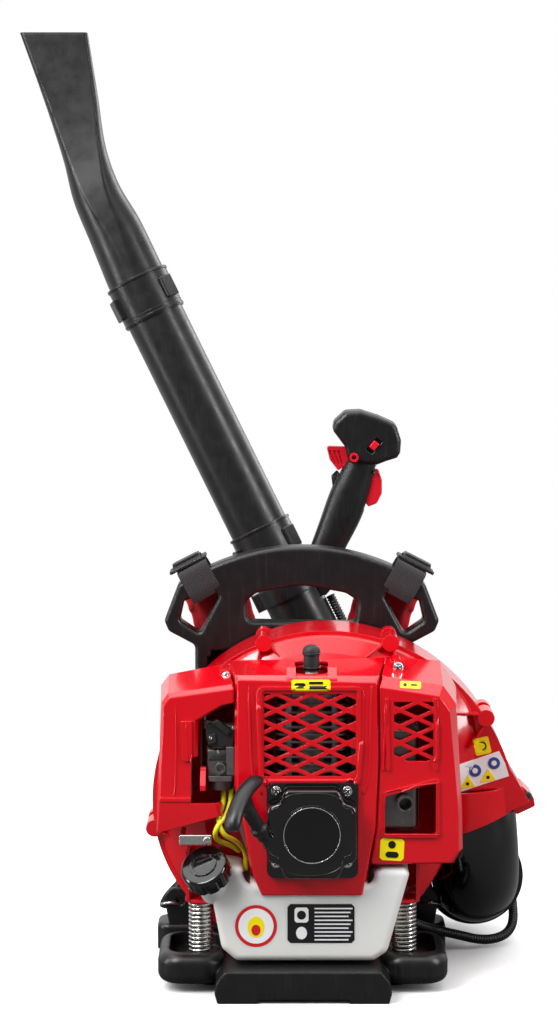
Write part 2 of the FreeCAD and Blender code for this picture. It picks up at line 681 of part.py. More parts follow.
def make_engine_cover(dome_solid):
    shell = soften(engine_block(0), 2.4, lambda e: e.BoundBox.YMax < -13).cut(engine_block(WALL))
    rim = xz_prism([(-48, 235), (62, 235), (62, 339), (-48, 339)], COVER_FRONT_Y - 2.4, COVER_FRONT_Y + 1, 5)
    rim = rim.cut(xz_prism([(-44, 239), (58, 239), (58, 335), (-44, 335)], COVER_FRONT_Y - 5,
                           COVER_FRONT_Y + 5, 3))
    plinth = yz_prism([(-109, 335), (-40, 335), (-40, 357), (-92, 357), (-109, 347)], -18, 36, [1, 1, 3, 4, 4])
    plinth = plinth.cut(yz_prism([(-106, 330), (-43, 330), (-43, 354), (-91, 354), (-106, 345)], -15, 33))
    plinth = plinth.cut(xz_prism([(-8, 347), (26, 347), (26, 365), (-8, 365)], -112, -80, 4))
    ear = rod(V(-83, -50, 341), Y_AXIS, 8, 30)
    shell = fuse(shell, rim, plinth, ear.cut(engine_block(WALL)))
    shell = shell.cut(lattice(-42, 56, 242, 331, 9.0, COVER_FRONT_Y))
    window = xz_prism([(-38.5, 132), (58.5, 132), (58.5, 236.5), (-38.5, 236.5)], -130, -100, 7)
    floor_opening = xy_prism([(-40, -107), (60, -107), (70, -13), (-50, -13)], 90, 118)
    boot_hole = xy_prism([(-9, -93), (27, -93), (27, -46), (-9, -46)], 330, 380, 12)
    return carve(shell, window, floor_opening, boot_hole, dome_solid)


def lattice(x0, x1, z0, z1, middle_x, y):
    """Diamond openings in rows that step sideways by half a pitch."""
    pitch_x, pitch_z = 38.0, 17.8
    half_w, half_h = 14.5, 6.4
    area = block(x0, x1, y - 8, y + 8, z0, z1)
    gems = []
    rows = int((z1 - z0) / (pitch_z / 2)) + 2
    for row in range(rows):
        z = z1 - row * pitch_z / 2
        shift = pitch_x / 2 if row % 2 == 0 else 0.0
        for column in (-2, -1, 0, 1, 2):
            x = middle_x + column * pitch_x + shift
            if x + half_w < x0 or x - half_w > x1:
                continue
            gem = xz_prism([(x - half_w, z), (x, z - half_h), (x + half_w, z), (x, z + half_h)],
                           y - 6, y + 6, [0.8, 1.5, 0.8, 1.5])
            gems.append(gem.common(area))
    return Part.makeCompound([g for g in gems if g.Volume > 180])


MUFFLER_FRONT = [(72, 146), (158, 147), (167, 160), (166, 205), (156, 312), (145, 328), (80, 338), (82, 262),
                 (79, 190)]
MUFFLER_EDGE = [(74, 141), (162, 144), (172, 160), (171, 205), (164, 318), (150, 338), (84, 348), (85.5, 262),
                (82, 190)]
MUFFLER_REAR = [(81, 141), (166, 146), (177, 162), (176, 205), (170, 322), (152, 350), (93, 354), (92.5, 262),
                (88.5, 190)]
MUFFLER_FRONT_Y, MUFFLER_EDGE_Y = -108.0, -95.0


def muffler_block(gap):
    return frustum([(MUFFLER_FRONT_Y + gap, inset(MUFFLER_FRONT, gap)), (MUFFLER_EDGE_Y, inset(MUFFLER_EDGE, gap)),
                    (1 if gap else 0, inset(MUFFLER_REAR, gap))])


def make_muffler_cover(dome_solid, engine_envelope):
    shell = soften(muffler_block(0), 2.2, lambda e: e.BoundBox.YMax < -2).cut(muffler_block(WALL))
    for x0, x1 in ((89, 93), (140, 144)):
        rib = xz_prism([(x0, 248), (x1, 248), (x1 - 2, 326), (x0 - 2, 326)], -110.5, -106.5, 1.6)
        shell = fuse(shell, rib)
    window = xz_prism([(87, 179), (142, 179), (142, 235), (88, 220)], -130, -100, 3)
    brow = xz_prism([(84, 175), (146, 175), (146, 240), (85, 224)], -110.5, -106.5, 4)
    ear = rod(V(103, -54, 352), Y_AXIS, 8, 34)
    shell = fuse(shell, brow.cut(muffler_block(WALL)), ear.cut(muffler_block(WALL)))
    under = block(84, 158, -90, -10, 130, 150)
    mesh = lattice(97, 139, 258, 322, 122, MUFFLER_FRONT_Y)
    return carve(shell, window, under, mesh, dome_solid, engine_envelope)


def make_air_cleaner_cover(dome_solid, engine_envelope):
    front = [(-155, 181), (-88, 199), (-92, 219), (-110, 228), (-116, 235), (-116, 301), (-88, 318),
             (-73, 321), (-73, 336), (-143, 326), (-149, 318)]
    edge = [(-158, 178), (-86, 196), (-88, 220), (-108, 230), (-113, 237), (-113, 300), (-87, 316),
            (-75, 319), (-75, 340), (-145, 330), (-152, 320)]
    rear = [(-161, 172), (-84, 192), (-84, 222), (-104, 232), (-108, 239), (-108, 298), (-86, 313),
            (-84, 316), (-84, 348), (-147, 336), (-156, 324)]
    y0 = COVER_FRONT_Y + 3
    outer = frustum([(y0, front), (y0 + 7, edge), (-8, rear)])
    inner = frustum([(y0 + WALL, inset(front, WALL)), (y0 + 7, inset(edge, WALL)), (-7, inset(rear, WALL))])
    shell = soften(outer, 2.2, lambda e: e.BoundBox.YMax < -9).cut(inner)
    pull = xz_prism([(-129, 258), (-119, 258), (-119, 301), (-131, 301)], y0 - 2.4, y0 + 1, 2)
    ledge = xz_prism([(-155, 214), (-98, 214), (-100, 218), (-154, 218)], y0 - 3, y0 + 1, 1)
    lip = xz_prism([(-156, 180), (-90, 198), (-94, 214), (-154, 214)], y0 - 2, y0 + 1, 2)
    shell = fuse(shell, pull, ledge, lip)
    return carve(shell, dome_solid, engine_envelope)


def make_air_filter():
    return soften(block(-144, -119.5, -96, -44, 214, 304), 5)


# ---------------------------------------------------------------- starter
def make_starter_housing():
    plate = xz_prism([(-38, 132.5), (58, 132.5), (58, 236), (-38, 236)], -116, -106, 7)
    raised = [(-20, 136), (38, 136), (43, 150), (57, 155), (57, 213), (43, 218), (38, 232), (-20, 232),
              (-25, 218), (-39, 213), (-39, 155), (-25, 150)]
    drum = xz_prism(raised, STARTER_FRONT_Y + 3, -114, [8, 8, 9, 9, 9, 9, 8, 8, 9, 9, 9, 9])
    drum = soften(drum, 4, lambda e: e.BoundBox.YMax < STARTER_FRONT_Y + 3.1)
    boss_disc = rod(V(AXIS_X, STARTER_FRONT_Y + 1, BADGE_Z), Y_AXIS, BADGE_R + 1.6, 5)
    nose = rod(ROPE_EXIT - ROPE_AXIS * 14, ROPE_AXIS, 6.5, 14 + ROPE_GUIDE)
    body = fuse(plate, drum, boss_disc, nose.cut(block(-100, 100, -113, 0, 0, 400)))
    hollow = rod(V(AXIS_X, -133, AXIS_Z), Y_AXIS, 38, 40)
    rope_hole = rod(ROPE_EXIT - ROPE_AXIS * 30, ROPE_AXIS, 2.6, 60)
    post = rod(V(AXIS_X, -134, AXIS_Z), Y_AXIS, PULLEY_POST_R, 20.5)
    grip_room = ring(ROPE_EXIT + ROPE_AXIS * (ROPE_GUIDE + 0.1), ROPE_AXIS, 10.6, 0.1, 30)
    return fuse(carve(body, hollow, rope_hole, grip_room), post)


def make_starter_badge():
    disc = rod(V(AXIS_X, STARTER_FRONT_Y - 0.2, BADGE_Z), Y_AXIS, BADGE_R, 1.2)
    return soften(disc, 0.4)


SCREW_SITES = ((-29, 150), (47, 150), (-29, 228), (47, 228))


def make_starter_screws():
    screws = []
    for x, z in SCREW_SITES:
        head = pan_head(V(x, -116, z), V(0, -1, 0), 5.0, 4)
        screws.append(fuse(head, rod(V(x, -116, z), Y_AXIS, 2.4, 14)))
    return screws


def make_recoil_pulley():
    wheel = ring(V(AXIS_X, -126, AXIS_Z), Y_AXIS, 31, PULLEY_POST_R + RUNNING_FIT, 12)
    groove = ring(V(AXIS_X, -123, AXIS_Z), Y_AXIS, 33, PULLEY_ROPE_R, 6)
    return wheel.cut(groove)


def make_recoil_spring():
    """A flat spiral of half circles, growing by a pitch each turn."""
    y, pitch, first_r, half_turns = -132.6, 2.6, 9.0, 11

    def half_circle(k, extra):
        radius = first_r + k * pitch / 2 + extra
        sign = 1 if k % 2 == 0 else -1
        centre = V(AXIS_X + (0 if sign > 0 else pitch / 2), y, AXIS_Z)
        return [centre + V(sign * radius * math.cos(a), 0, radius * math.sin(sign * a))
                for a in (0, math.pi / 2, math.pi)]

    edges = []
    for k in range(half_turns):
        edges.append(Part.Arc(*half_circle(k, 0.0)).toShape())
    back = [Part.Arc(*half_circle(k, 0.8)).toShape() for k in range(half_turns)]
    start = Part.LineSegment(half_circle(0, 0.0)[0], half_circle(0, 0.8)[0]).toShape()
    end = Part.LineSegment(half_circle(half_turns - 1, 0.0)[2], half_circle(half_turns - 1, 0.8)[2]).toShape()
    outline = Part.Wire(Part.__sortEdges__(edges + back + [start, end]))
    return Part.Face(outline).extrude(Y_AXIS * 5.6)


def make_starter_grip():
    depth = ROPE_AXIS.cross(V(0.364, 0.728, 0.583)).normalize()
    side = depth.cross(ROPE_AXIS).normalize()
    base = ROPE_EXIT + ROPE_AXIS * (ROPE_GUIDE + 0.5)
    collar_ring = soften(rod(base + ROPE_AXIS * 9, ROPE_AXIS, 9.6, 8), 1.5)
    neck = Part.makeCone(7.4, 7.8, 45, base, ROPE_AXIS)
    stations = [(40, 7.9, 7.6), (48, 11, 7.8), (56, 17, 8.2)]
    flare = Part.makeLoft([oval(base + ROPE_AXIS * s, side, depth, w, d) for s, w, d in stations], True, False)
    stem = fuse(neck, collar_ring, flare)
    bar_path = [(-37, 50), (-27, 55), (-14, 58), (0, 59), (14, 58), (27, 55), (37, 50)]
    sections = []
    for k, (u, s) in enumerate(bar_path):
        before = bar_path[max(k - 1, 0)]
        after = bar_path[min(k + 1, len(bar_path) - 1)]
        heading = (side * (after[0] - before[0]) + ROPE_AXIS * (after[1] - before[1])).normalize()
        across = depth.cross(heading).normalize()
        thick = 5.2 if k in (0, len(bar_path) - 1) else 7.4
        sections.append(oval(base + side * u + ROPE_AXIS * s, across, depth, thick, thick + 2.2))
    bar = Part.makeLoft(sections, True, False)
    grip = fuse(stem, bar)
    return grip.cut(rod(base - ROPE_AXIS, ROPE_AXIS, 2.1, 40))


def make_starter_rope():
    return rod(ROPE_EXIT - ROPE_AXIS * 8, ROPE_AXIS, 2.0, 46)


# ---------------------------------------------------------------- fuel system
TANK_OUTLINE = [(-72, TANK_FLOOR_Z), (76, TANK_FLOOR_Z), (91, 48), (115, 135), (109, 140.6), (86, 140.6),
                (76, 137), (74, 124), (-60, 124), (-66, 140), (-92, 144), (-102, 128), (-88, 52)]


def tank_block(outline, radii, grow):
    return xz_prism(outline, TANK_FRONT_Y - grow, TANK_REAR_Y + grow, radii)


def fuel_tank_envelope():
    return tank_block(TANK_OUTLINE, [12, 12, 12, 7, 6, 8, 8, 8, 8, 8, 12, 10, 12], 0)


def tank_clearance():
    """The room that the covers and brackets leave for the tank."""
    return tank_block(inset(TANK_OUTLINE, -0.8), 0.0, 0.8)


def make_fuel_tank():
    body = soften(fuel_tank_envelope(), 8, lambda e: abs(e.BoundBox.YMin - e.BoundBox.YMax) < 0.01)
    neck = rod(CAP_CENTRE - CAP_AXIS * 34, CAP_AXIS, 18, 32)
    body = fuse(body, neck)
    hollow = [(x * 0.93, TANK_FLOOR_Z + 5 + (z - TANK_FLOOR_Z) * 0.90) for x, z in TANK_OUTLINE]
    cavity = xz_prism(hollow, TANK_FRONT_Y + 4, TANK_REAR_Y - 4, [5] * len(hollow))
    filler = rod(CAP_CENTRE - CAP_AXIS * 32, CAP_AXIS, 14.5, 40)
    grommet_hole = rod(V(-62, -74, 120), Z_AXIS, 4.0, 60)
    cap_room = ring(CAP_CENTRE - CAP_AXIS * 7, CAP_AXIS, CAP_R + 0.8, 17.8, 30)
    return carve(body, cavity, filler, grommet_hole, cap_room)


def make_fuel_cap():
    base = CAP_CENTRE - CAP_AXIS * 6
    skirt = rod(base, CAP_AXIS, CAP_R, 20)
    skirt = soften(skirt, 3, lambda e: (e.CenterOfMass - base).dot(CAP_AXIS) > 19)
    side = CAP_AXIS.cross(Z_AXIS).normalize()
    cuts = []
    for k in range(10):
        flute = rod(base + side * (CAP_R + 2.4) - CAP_AXIS, CAP_AXIS, 4, 15)
        cuts.append(turned(flute, base, CAP_AXIS, 36 * k))
    shallow = rod(base + CAP_AXIS * 18.6, CAP_AXIS, 15, 3)
    well = rod(base - CAP_AXIS, CAP_AXIS, 18.4, 14)
    stem = ring(base + CAP_AXIS * 5, CAP_AXIS, 14.0, 11, 9)
    cap = carve(skirt, *cuts, well)
    return fuse(cap, stem, shallow.cut(rod(base + CAP_AXIS * 19, CAP_AXIS, 12, 5)))


FUEL_LINE_R = 2.6
FEED_LINE = [V(-62, -74, 132), V(-62, -76, 152), V(-72, -94, 168), V(-86, -108, 178), V(-92, -104, 194),
             V(-86, -94, 208), V(-86, -80, 216), V(-86, -75, 222)]
RETURN_LINE = [V(-70, -62, 150), V(-76, -84, 160), V(-94, -98, 170), V(-95, -112, 184), V(-84, -100, 196),
               V(-78, -88, 208), V(-78, -75, 222)]


def make_line_clip():
    strap = soften(block(-133, -98, -115, -111, 168, 179), 1.5)
    leg = block(-132, -127, -111, -60, 171, 176)
    head = pan_head(V(-103, -115, 173.5), V(0, -1, 0), 4, 2.6)
    return fuse(strap, leg, head)


# ---------------------------------------------------------------- spring suspension
def make_springs():
    springs = []
    wire_r, coil_r, turns = 1.7, 12.0, 12.0
    low, high = SPRING_LOW_Z + wire_r + 0.05, SPRING_HIGH_Z - wire_r - 0.05
    for x in (-SPRING_X, SPRING_X):
        helix = Part.makeHelix((high - low) / turns, high - low, coil_r)
        helix.translate(V(x, SPRING_Y, low))
        start = V(x + coil_r, SPRING_Y, low)
        profile = Part.Wire([Part.Circle(start, Y_AXIS, wire_r).toShape()])
        springs.append(Part.Wire(helix).makePipeShell([profile], True, True))
    return springs


def make_spring_brackets(dome_solid):
    """Ribbed brackets on the fan housing that stand on the springs."""
    pad = rod(V(SPRING_X, SPRING_Y, SPRING_HIGH_Z), Z_AXIS, 17, 4)
    web = block(SPRING_X - 14, SPRING_X - 10, SPRING_Y - 15, 4, 93, 146)
    other = block(SPRING_X + 12, SPRING_X + 16, SPRING_Y - 15, 4, 93, 146)
    back = block(SPRING_X - 14, SPRING_X + 16, -14, -4, 84, 146)
    right = fuse(pad, web, other, back)
    return [carve(s, dome_solid) for s in (right, mirror_x(right))]


def make_rear_isolators():
    """Rubber bushes between the fan housing and the back frame."""
    return [rod(V(x, REAR_Y, ISOLATOR_Z), Y_AXIS, 13, 28) for x in (-82, 96)]


# ---------------------------------------------------------------- air duct
def make_elbow():
    start = ELBOW_START - ELBOW_AXIS * 26
    bend_start = ELBOW_START + ELBOW_AXIS * 10
    middle = bend_start + ELBOW_AXIS * ELBOW_BEND
    bend_end = middle + Y_AXIS * ELBOW_BEND
    path = corner_path([start, middle, bend_end + Y_AXIS * 16], ELBOW_BEND)
    body = sweep(path, ELBOW_R)
    inner_path = corner_path([start - ELBOW_AXIS, middle, bend_end + Y_AXIS * 17], ELBOW_BEND)
    return body.cut(sweep(inner_path, ELBOW_R - WALL)), bend_end


def make_hose_clamp(exit_point):
    centre = V(exit_point.x, CUFF_Y0, exit_point.z)
    band = ring(centre, Y_AXIS, 55, ELBOW_R + 0.3, CUFF_Y1 - CUFF_Y0)
    for y in (CUFF_Y0 + 3, CUFF_Y0 + 8.5):
        band = band.cut(ring(V(centre.x, y, centre.z), Y_AXIS, 60, 53, 2.2))
    bead = ring(centre + Y_AXIS * 5.8, Y_AXIS, 57.5, 52, 2.2)
    screw = rod(V(centre.x - 12, CUFF_Y0 + 7, centre.z + 58), X_AXIS, 3.4, 24)
    ear = block(centre.x - 5, centre.x + 5, CUFF_Y0 + 1, CUFF_Y1 - 1, centre.z + 50, centre.z + 62)
    return fuse(band, bead, ear, screw)


def make_bellows(exit_point):
    knee = V(exit_point.x, 225, exit_point.z)
    points = [V(exit_point.x, CUFF_Y1, exit_point.z), knee, TUBE_START - TUBE_AXIS * 65, TUBE_START]
    path = corner_path(points, easy_radii(points))
    return sweep(path, 36.0).cut(sweep(path, 33.0))


def socket(base_distance, top_distance):
    start = along_tube(base_distance)
    sleeve = ring(start, TUBE_AXIS, TUBE_R + 2.6, TUBE_R + SOCKET_GAP, top_distance - base_distance)
    foot = ring(start - TUBE_AXIS * 6, TUBE_AXIS, TUBE_R + 2.6, TUBE_R - 1, 6)
    side = TUBE_AXIS.cross(Y_AXIS).normalize()
    lugs = []
    for sign, turn in ((1, 20), (-1, 35)):
        lug = Part.makeBox(6, 20, 26, V(0, -10, 0))
        lug = soften(lug, 1.5)
        place = Rotation(side * sign, TUBE_AXIS.cross(side * sign), TUBE_AXIS)
        lug.Placement = FreeCAD.Placement(start + TUBE_AXIS * 6 + side * (sign * (TUBE_R + 0.8)), place)
        lugs.append(turned(lug, start, TUBE_AXIS, turn * sign))
    clear = rod(start, TUBE_AXIS, TUBE_R + SOCKET_GAP, 60)
    lugs = [lug.cut(clear) for lug in lugs]
    return fuse(sleeve, foot, *lugs)


def make_swivel_tube():
    length = LOWER_JOINT - SOCKET_LENGTH
    body = rod(TUBE_START, TUBE_AXIS, TUBE_R, length)
    whole = fuse(body, socket(length, LOWER_JOINT))
    return whole.cut(rod(TUBE_START - TUBE_AXIS, TUBE_AXIS, TUBE_R - TUBE_WALL, length + 2))


def make_straight_tube():
    start = LOWER_JOINT - SOCKET_LENGTH + 2
    length = UPPER_JOINT - SOCKET_LENGTH - start
    body = rod(along_tube(start), TUBE_AXIS, TUBE_R, length)
    whole = fuse(body, socket(start + length, UPPER_JOINT))
    return whole.cut(rod(along_tube(start - 1), TUBE_AXIS, TUBE_R - TUBE_WALL, length + 2))


def rounded_ring(centre, across, half_w, half_d, radius):
    """A rounded rectangle in the plane of `across` and Y; equal halves and radius make it round."""
    corners = []
    for u, w in ((-1, -1), (1, -1), (1, 1), (-1, 1)):
        corners.append(centre + across * (u * half_w) + Y_AXIS * (w * half_d))
    return corner_path(corners, radius, closed=True)


def nozzle_loft(thin):
    """The flared outlet: round at its foot, a narrow waist, then a wide flat mouth."""
    level = TUBE_AXIS.cross(Y_AXIS).normalize()
    rings = [(along_tube(UPPER_JOINT - SOCKET_LENGTH + 6), level, TUBE_R, TUBE_R, TUBE_R - 0.1),
             (along_tube(UPPER_JOINT + 5), level, TUBE_R, TUBE_R, TUBE_R - 0.1)]
    #            left x, z; right x, z; middle y; half depth; corner radius
    outline = (((-252, 809), (-193, 838), 302, 34, 32), ((-272, 858), (-218, 880), 307, 32, 28),
               ((-284.5, 908), (-234, 926), 311, 27, 23), ((-306, 975), (-243, 985), 316, 19.5, 14),
               ((-336, 1059), (-255, 1059), 322, 11.5, 6))
    for (lx, lz), (rx, rz), y, depth, radius in outline:
        left, right = V(lx, y, lz), V(rx, y, rz)
        across = right - left
        half = across.Length / 2
        rings.append(((left + right) * 0.5, across.normalize(), half, depth, min(radius, half - 0.1)))
    wires = []
    for centre, across, half, depth, radius in rings:
        wires.append(rounded_ring(centre, across, half - thin, depth - thin, radius - thin))
    return Part.makeLoft(wires, True, True)


def make_nozzle():
    return nozzle_loft(0.0).cut(nozzle_loft(TUBE_WALL))


# ---------------------------------------------------------------- control handle
def h(x, z):
    return V(x, HANDLE_Y, z)


GRIP_STATIONS = (   # left edge, right edge (x, z), half depth
    ((6, 424), (47, 420), 17), ((12, 452), (53, 447), 17), ((21, 477), (66, 472), 17.5),
    ((31, 506), (78, 501), 18), ((41, 530), (85, 527), 17.5), ((53, 553), (90, 548), 17))
TRIGGER_PIN = V(87, HANDLE_Y, 539)
LEVER_PIN = V(62.3, HANDLE_Y, 558)
SWITCH_CENTRE = V(86, HANDLE_Y - 23, 572)
SLOT_HALF = 7.8
HUB_R = 5.4


def head_outline():
    return [(52, 612), (39, 600), (37, 590), (52, 570), (56, 552), (90, 549), (100, 553), (113, 557),
            (117, 563), (118, 578), (112, 597), (92, 606), (70, 613)]


def make_control_handle():
    wires = []
    for (lx, lz), (rx, rz), depth in GRIP_STATIONS:
        left, right = h(lx, lz), h(rx, rz)
        across = right - left
        half = across.Length / 2
        wires.append(oval((left + right) * 0.5, across.normalize(), Y_AXIS, half, depth, 2.4))
    grip = Part.makeLoft(wires, True, False)
    head = xz_prism(head_outline(), HANDLE_Y - 23, HANDLE_Y + 23, [8, 6, 8, 8, 4, 6, 6, 3, 4, 8, 10, 12, 10])
    head = soften(head, 6, lambda e: abs(e.BoundBox.YMin - e.BoundBox.YMax) < 0.01)
    spur = xz_prism([(36, 534), (43, 541), (52, 528), (38, 518)], HANDLE_Y - 8, HANDLE_Y + 8, 1.5)
    arm = xz_prism([(-6, 392), (30, 392), (46, 412), (46, 432), (4, 432)], HANDLE_Y - 4, HANDLE_Y + 12, 3)
    band_start = along_tube(BAND_FROM)
    band = ring(band_start, TUBE_AXIS, TUBE_R + 4, TUBE_R, BAND_WIDTH)
    ears = Part.makeBox(9, 16, BAND_WIDTH, V(TUBE_R + 1, -8, 0))
    side = TUBE_AXIS.cross(Y_AXIS).normalize()
    ears.Placement = FreeCAD.Placement(band_start, Rotation(side, TUBE_AXIS.cross(side), TUBE_AXIS))
    body = fuse(grip, head, spur, arm, band, ears)
    tube_space = rod(along_tube(0), TUBE_AXIS, TUBE_R, LOWER_JOINT - SOCKET_LENGTH - 6)
    socket_space = rod(along_tube(LOWER_JOINT - SOCKET_LENGTH - 7), TUBE_AXIS, TUBE_R + 3.4, 70)
    y0, y1 = HANDLE_Y - SLOT_HALF, HANDLE_Y + SLOT_HALF
    trigger_slot = xz_prism([(62, 494), (110, 494), (110, 546), (76, 546), (66, 528)], y0, y1)
    lever_room = rod(V(LEVER_PIN.x, y0, LEVER_PIN.z), Y_AXIS, 37, y1 - y0)
    lever_slot = lever_room.common(xz_prism([(20, 538), (52, 532), (62, 540), (66, 566), (50, 604), (20, 612)],
                                            y0, y1))
    hub_hole = rod(LEVER_PIN - Y_AXIS * 30, Y_AXIS, HUB_R + RUNNING_FIT, 30 + SLOT_HALF)
    hub_room = rod(V(LEVER_PIN.x, y0, LEVER_PIN.z), Y_AXIS, 8, y1 - y0)
    switch_slot = turned(block(-4.3, 4.3, -4, 8, -9.5, 9.5), V(0, 0, 0), Y_AXIS, SWITCH_TILT)
    switch_slot.translate(SWITCH_CENTRE)
    pin_hole = rod(TRIGGER_PIN - Y_AXIS * 14, Y_AXIS, 1.6, 28)
    return carve(body, tube_space, socket_space, trigger_slot, lever_slot, hub_hole, hub_room, switch_slot,
                 pin_hole)


def make_trigger():
    outline = [(82, 544), (92, 542), (96, 530), (96, 514), (90, 502), (80, 498), (74, 506), (79, 530)]
    body = xz_prism(outline, HANDLE_Y - 7, HANDLE_Y + 7, [4, 3, 8, 8, 6, 2, 2, 2])
    body = soften(body, 1.5, lambda e: abs(e.BoundBox.YMin - e.BoundBox.YMax) < 0.01)
    return body.cut(rod(TRIGGER_PIN - Y_AXIS * 14, Y_AXIS, 1.6 + RUNNING_FIT, 28))


def make_handle_pin():
    return rod(TRIGGER_PIN - Y_AXIS * 14, Y_AXIS, 1.6, 28)


def make_cruise_lever():
    fan = xz_prism([(30, 570), (53, 569), (62, 561), (59, 551), (44, 541), (34, 554)], HANDLE_Y - 7,
                   HANDLE_Y + 7, [3, 2, 2, 3, 2, 3])
    ribs = [xz_prism([(33 + k * 5, 565), (35.5 + k * 5, 565), (42.5 + k * 4, 549), (40.5 + k * 4, 549)],
                     HANDLE_Y - 9, HANDLE_Y - 5) for k in range(3)]
    fan = carve(fan, *ribs)
    hub = rod(LEVER_PIN - Y_AXIS * 26, Y_AXIS, HUB_R, 33)
    bore = rod(LEVER_PIN - Y_AXIS * 27, Y_AXIS, 2.8, 12)
    return fuse(fan, hub).cut(bore)


SWITCH_TILT = 40.0


def make_stop_switch():
    knob = soften(block(-4, 4, -3.5, 3, -5, 5), 1.2)
    knob = turned(knob, V(0, 0, 0), Y_AXIS, SWITCH_TILT)
    knob.translate(SWITCH_CENTRE)
    return knob


# ---------------------------------------------------------------- conduit
CONDUIT_R = 5.2
CONDUIT_LOWER = [V(112, 30, 52), V(124, 42, 44), V(140, 56, 35), V(160, 68, 27), V(181, 78, 20),
                 V(203, 88, 12), V(224, 99, 10), V(240, 112, 14), V(248, 128, 26), V(247, 145, 41)]
CONDUIT_UPPER = [V(246.98, 145.3, 41.3), V(246, 162, 56), V(243, 176, 74), V(240, 193, 90), V(239, 210, 107),
                 V(234, 224, 126), V(220, 232, 144), V(200, 236, 160), V(177, 236, 174), V(153, 235, 190),
                 V(130, 234, 212), V(110, 236, 242), V(95, 239, 274), V(78, 242, 307), V(62, 245, 339),
                 V(46, 248, 368), V(35, 249.5, 390.5)]


# ---------------------------------------------------------------- assembly
def build():
    parts["base_tray"] = make_base_tray()
    frame = make_back_frame()
    bolts = make_frame_bolts()
    parts["frame_bolts"] = bolts
    parts["base_tray"] = carve(parts["base_tray"], *bolts)
    parts["back_frame"] = carve(frame, *bolts)

    screws = make_housing_screws()
    outer, inner = housing_shell()
    housing_front = make_housing_front(outer, inner, screws)
    parts["fan_housing_rear"] = make_housing_rear(outer, inner, screws)
    parts["housing_screws"] = screws

    parts["fan_impeller"] = make_impeller()
    parts["crankshaft"] = make_crankshaft()
    parts["flywheel"] = make_flywheel()
    crankcase = make_crankcase()
    parts["main_bearings"] = make_bearings()
    cylinder = make_cylinder()
    parts["crankcase"] = crankcase
    parts["piston"] = make_piston()
    parts["spark_plug"] = make_spark_plug()
    parts["spark_plug_boot"] = make_spark_plug_boot(parts["spark_plug"])
    parts["intake_manifold"] = make_intake_manifold()
    parts["muffler"] = carve(make_muffler(), cylinder)
    parts["cylinder"] = carve(cylinder, parts["spark_plug"], parts["intake_manifold"])
    parts["carburettor"] = make_carburettor()
    parts["choke_lever"] = make_choke_lever()
    parts["ignition_coil"] = make_ignition_coil()

    cover_screws = []
    for x, z, y in ((-83, 341, -50), (103, 352, -54)):
        head = pan_head(V(x, y, z), V(0, -1, 0), 5.2, 4)
        cover_screws.append(fuse(head, rod(V(x, y, z), Y_AXIS, 2.4, 44)))
    parts["cover_screws"] = cover_screws
    tank = make_fuel_tank()
    muffler_port = block(60, 99, -104, -42, 176, 296)
    carburettor_port = block(-115, -52, -99, -40, 210, 303)
    crankcase_port = block(-66, -40, -99, -40, 150, 212)
    tank_room = tank_clearance()
    lever_room = block(-120, -82, -112, -92, 212, 262)
    engine_tools = [*cover_screws, muffler_port, carburettor_port, crankcase_port, tank_room]
    parts["engine_cover"] = largest_solid(carve(make_engine_cover(dome(0.0)), *engine_tools))
    muffler_cover = make_muffler_cover(dome(0.0), engine_block(0))
    parts["muffler_cover"] = largest_solid(carve(muffler_cover, muffler_port, *cover_screws))
    air_cover = make_air_cleaner_cover(dome(0.0), engine_block(0))
    parts["air_cleaner_cover"] = largest_solid(carve(air_cover, *cover_screws, carburettor_port, lever_room))
    parts["air_filter"] = make_air_filter()
    parts["fan_housing_front"] = carve(housing_front, *cover_screws)

    starter_screws = make_starter_screws()
    parts["starter_screws"] = starter_screws
    badge = make_starter_badge()
    parts["starter_badge"] = badge
    parts["starter_housing"] = carve(make_starter_housing(), *starter_screws, badge)
    parts["recoil_pulley"] = make_recoil_pulley()
    parts["recoil_spring"] = make_recoil_spring()
    parts["starter_grip"] = make_starter_grip()
    parts["starter_rope"] = make_starter_rope()

    parts["fuel_tank"] = tank
    parts["fuel_cap"] = make_fuel_cap()
    parts["fuel_lines"] = [cord("feed line", FEED_LINE, FUEL_LINE_R),
                           cord("return line", RETURN_LINE, FUEL_LINE_R)]
    parts["line_clip"] = make_line_clip()

    parts["isolator_springs"] = make_springs()
    parts["spring_brackets"] = [largest_solid(carve(s, tank_room)) for s in make_spring_brackets(dome(0.0))]
    parts["rear_isolators"] = make_rear_isolators()

    elbow, bend_end = make_elbow()
    parts["outlet_elbow"] = elbow
    parts["hose_clamp"] = make_hose_clamp(bend_end)
    parts["bellows_hose"] = make_bellows(bend_end)
    parts["swivel_tube"] = make_swivel_tube()
    parts["straight_tube"] = make_straight_tube()
    parts["nozzle"] = make_nozzle()

    parts["back_cushion"] = make_back_cushion()
    pad = make_shoulder_pad()
    parts["shoulder_pad_right"] = pad
    parts["shoulder_pad_left"] = mirror_x(pad)
    webbing = make_webbing()
    parts["webbing_right"] = webbing
    parts["webbing_left"] = [mirror_x(s) for s in webbing]
    parts["strap_sliders"] = make_sliders()
    tab, wire_ring = make_hooks()
    parts["hook_tabs"] = [tab, mirror_x(tab)]
    parts["hook_rings"] = [wire_ring, mirror_x(wire_ring)]

    parts["throttle_trigger"] = make_trigger()
    parts["cruise_lever"] = make_cruise_lever()
    parts["stop_switch"] = make_stop_switch()
    parts["control_handle"] = make_control_handle()
    parts["trigger_pin"] = make_handle_pin()
    parts["conduit_lower"] = cord("conduit lower", CONDUIT_LOWER, CONDUIT_R)
    parts["conduit_upper"] = cord("conduit upper", CONDUIT_UPPER, CONDUIT_R)


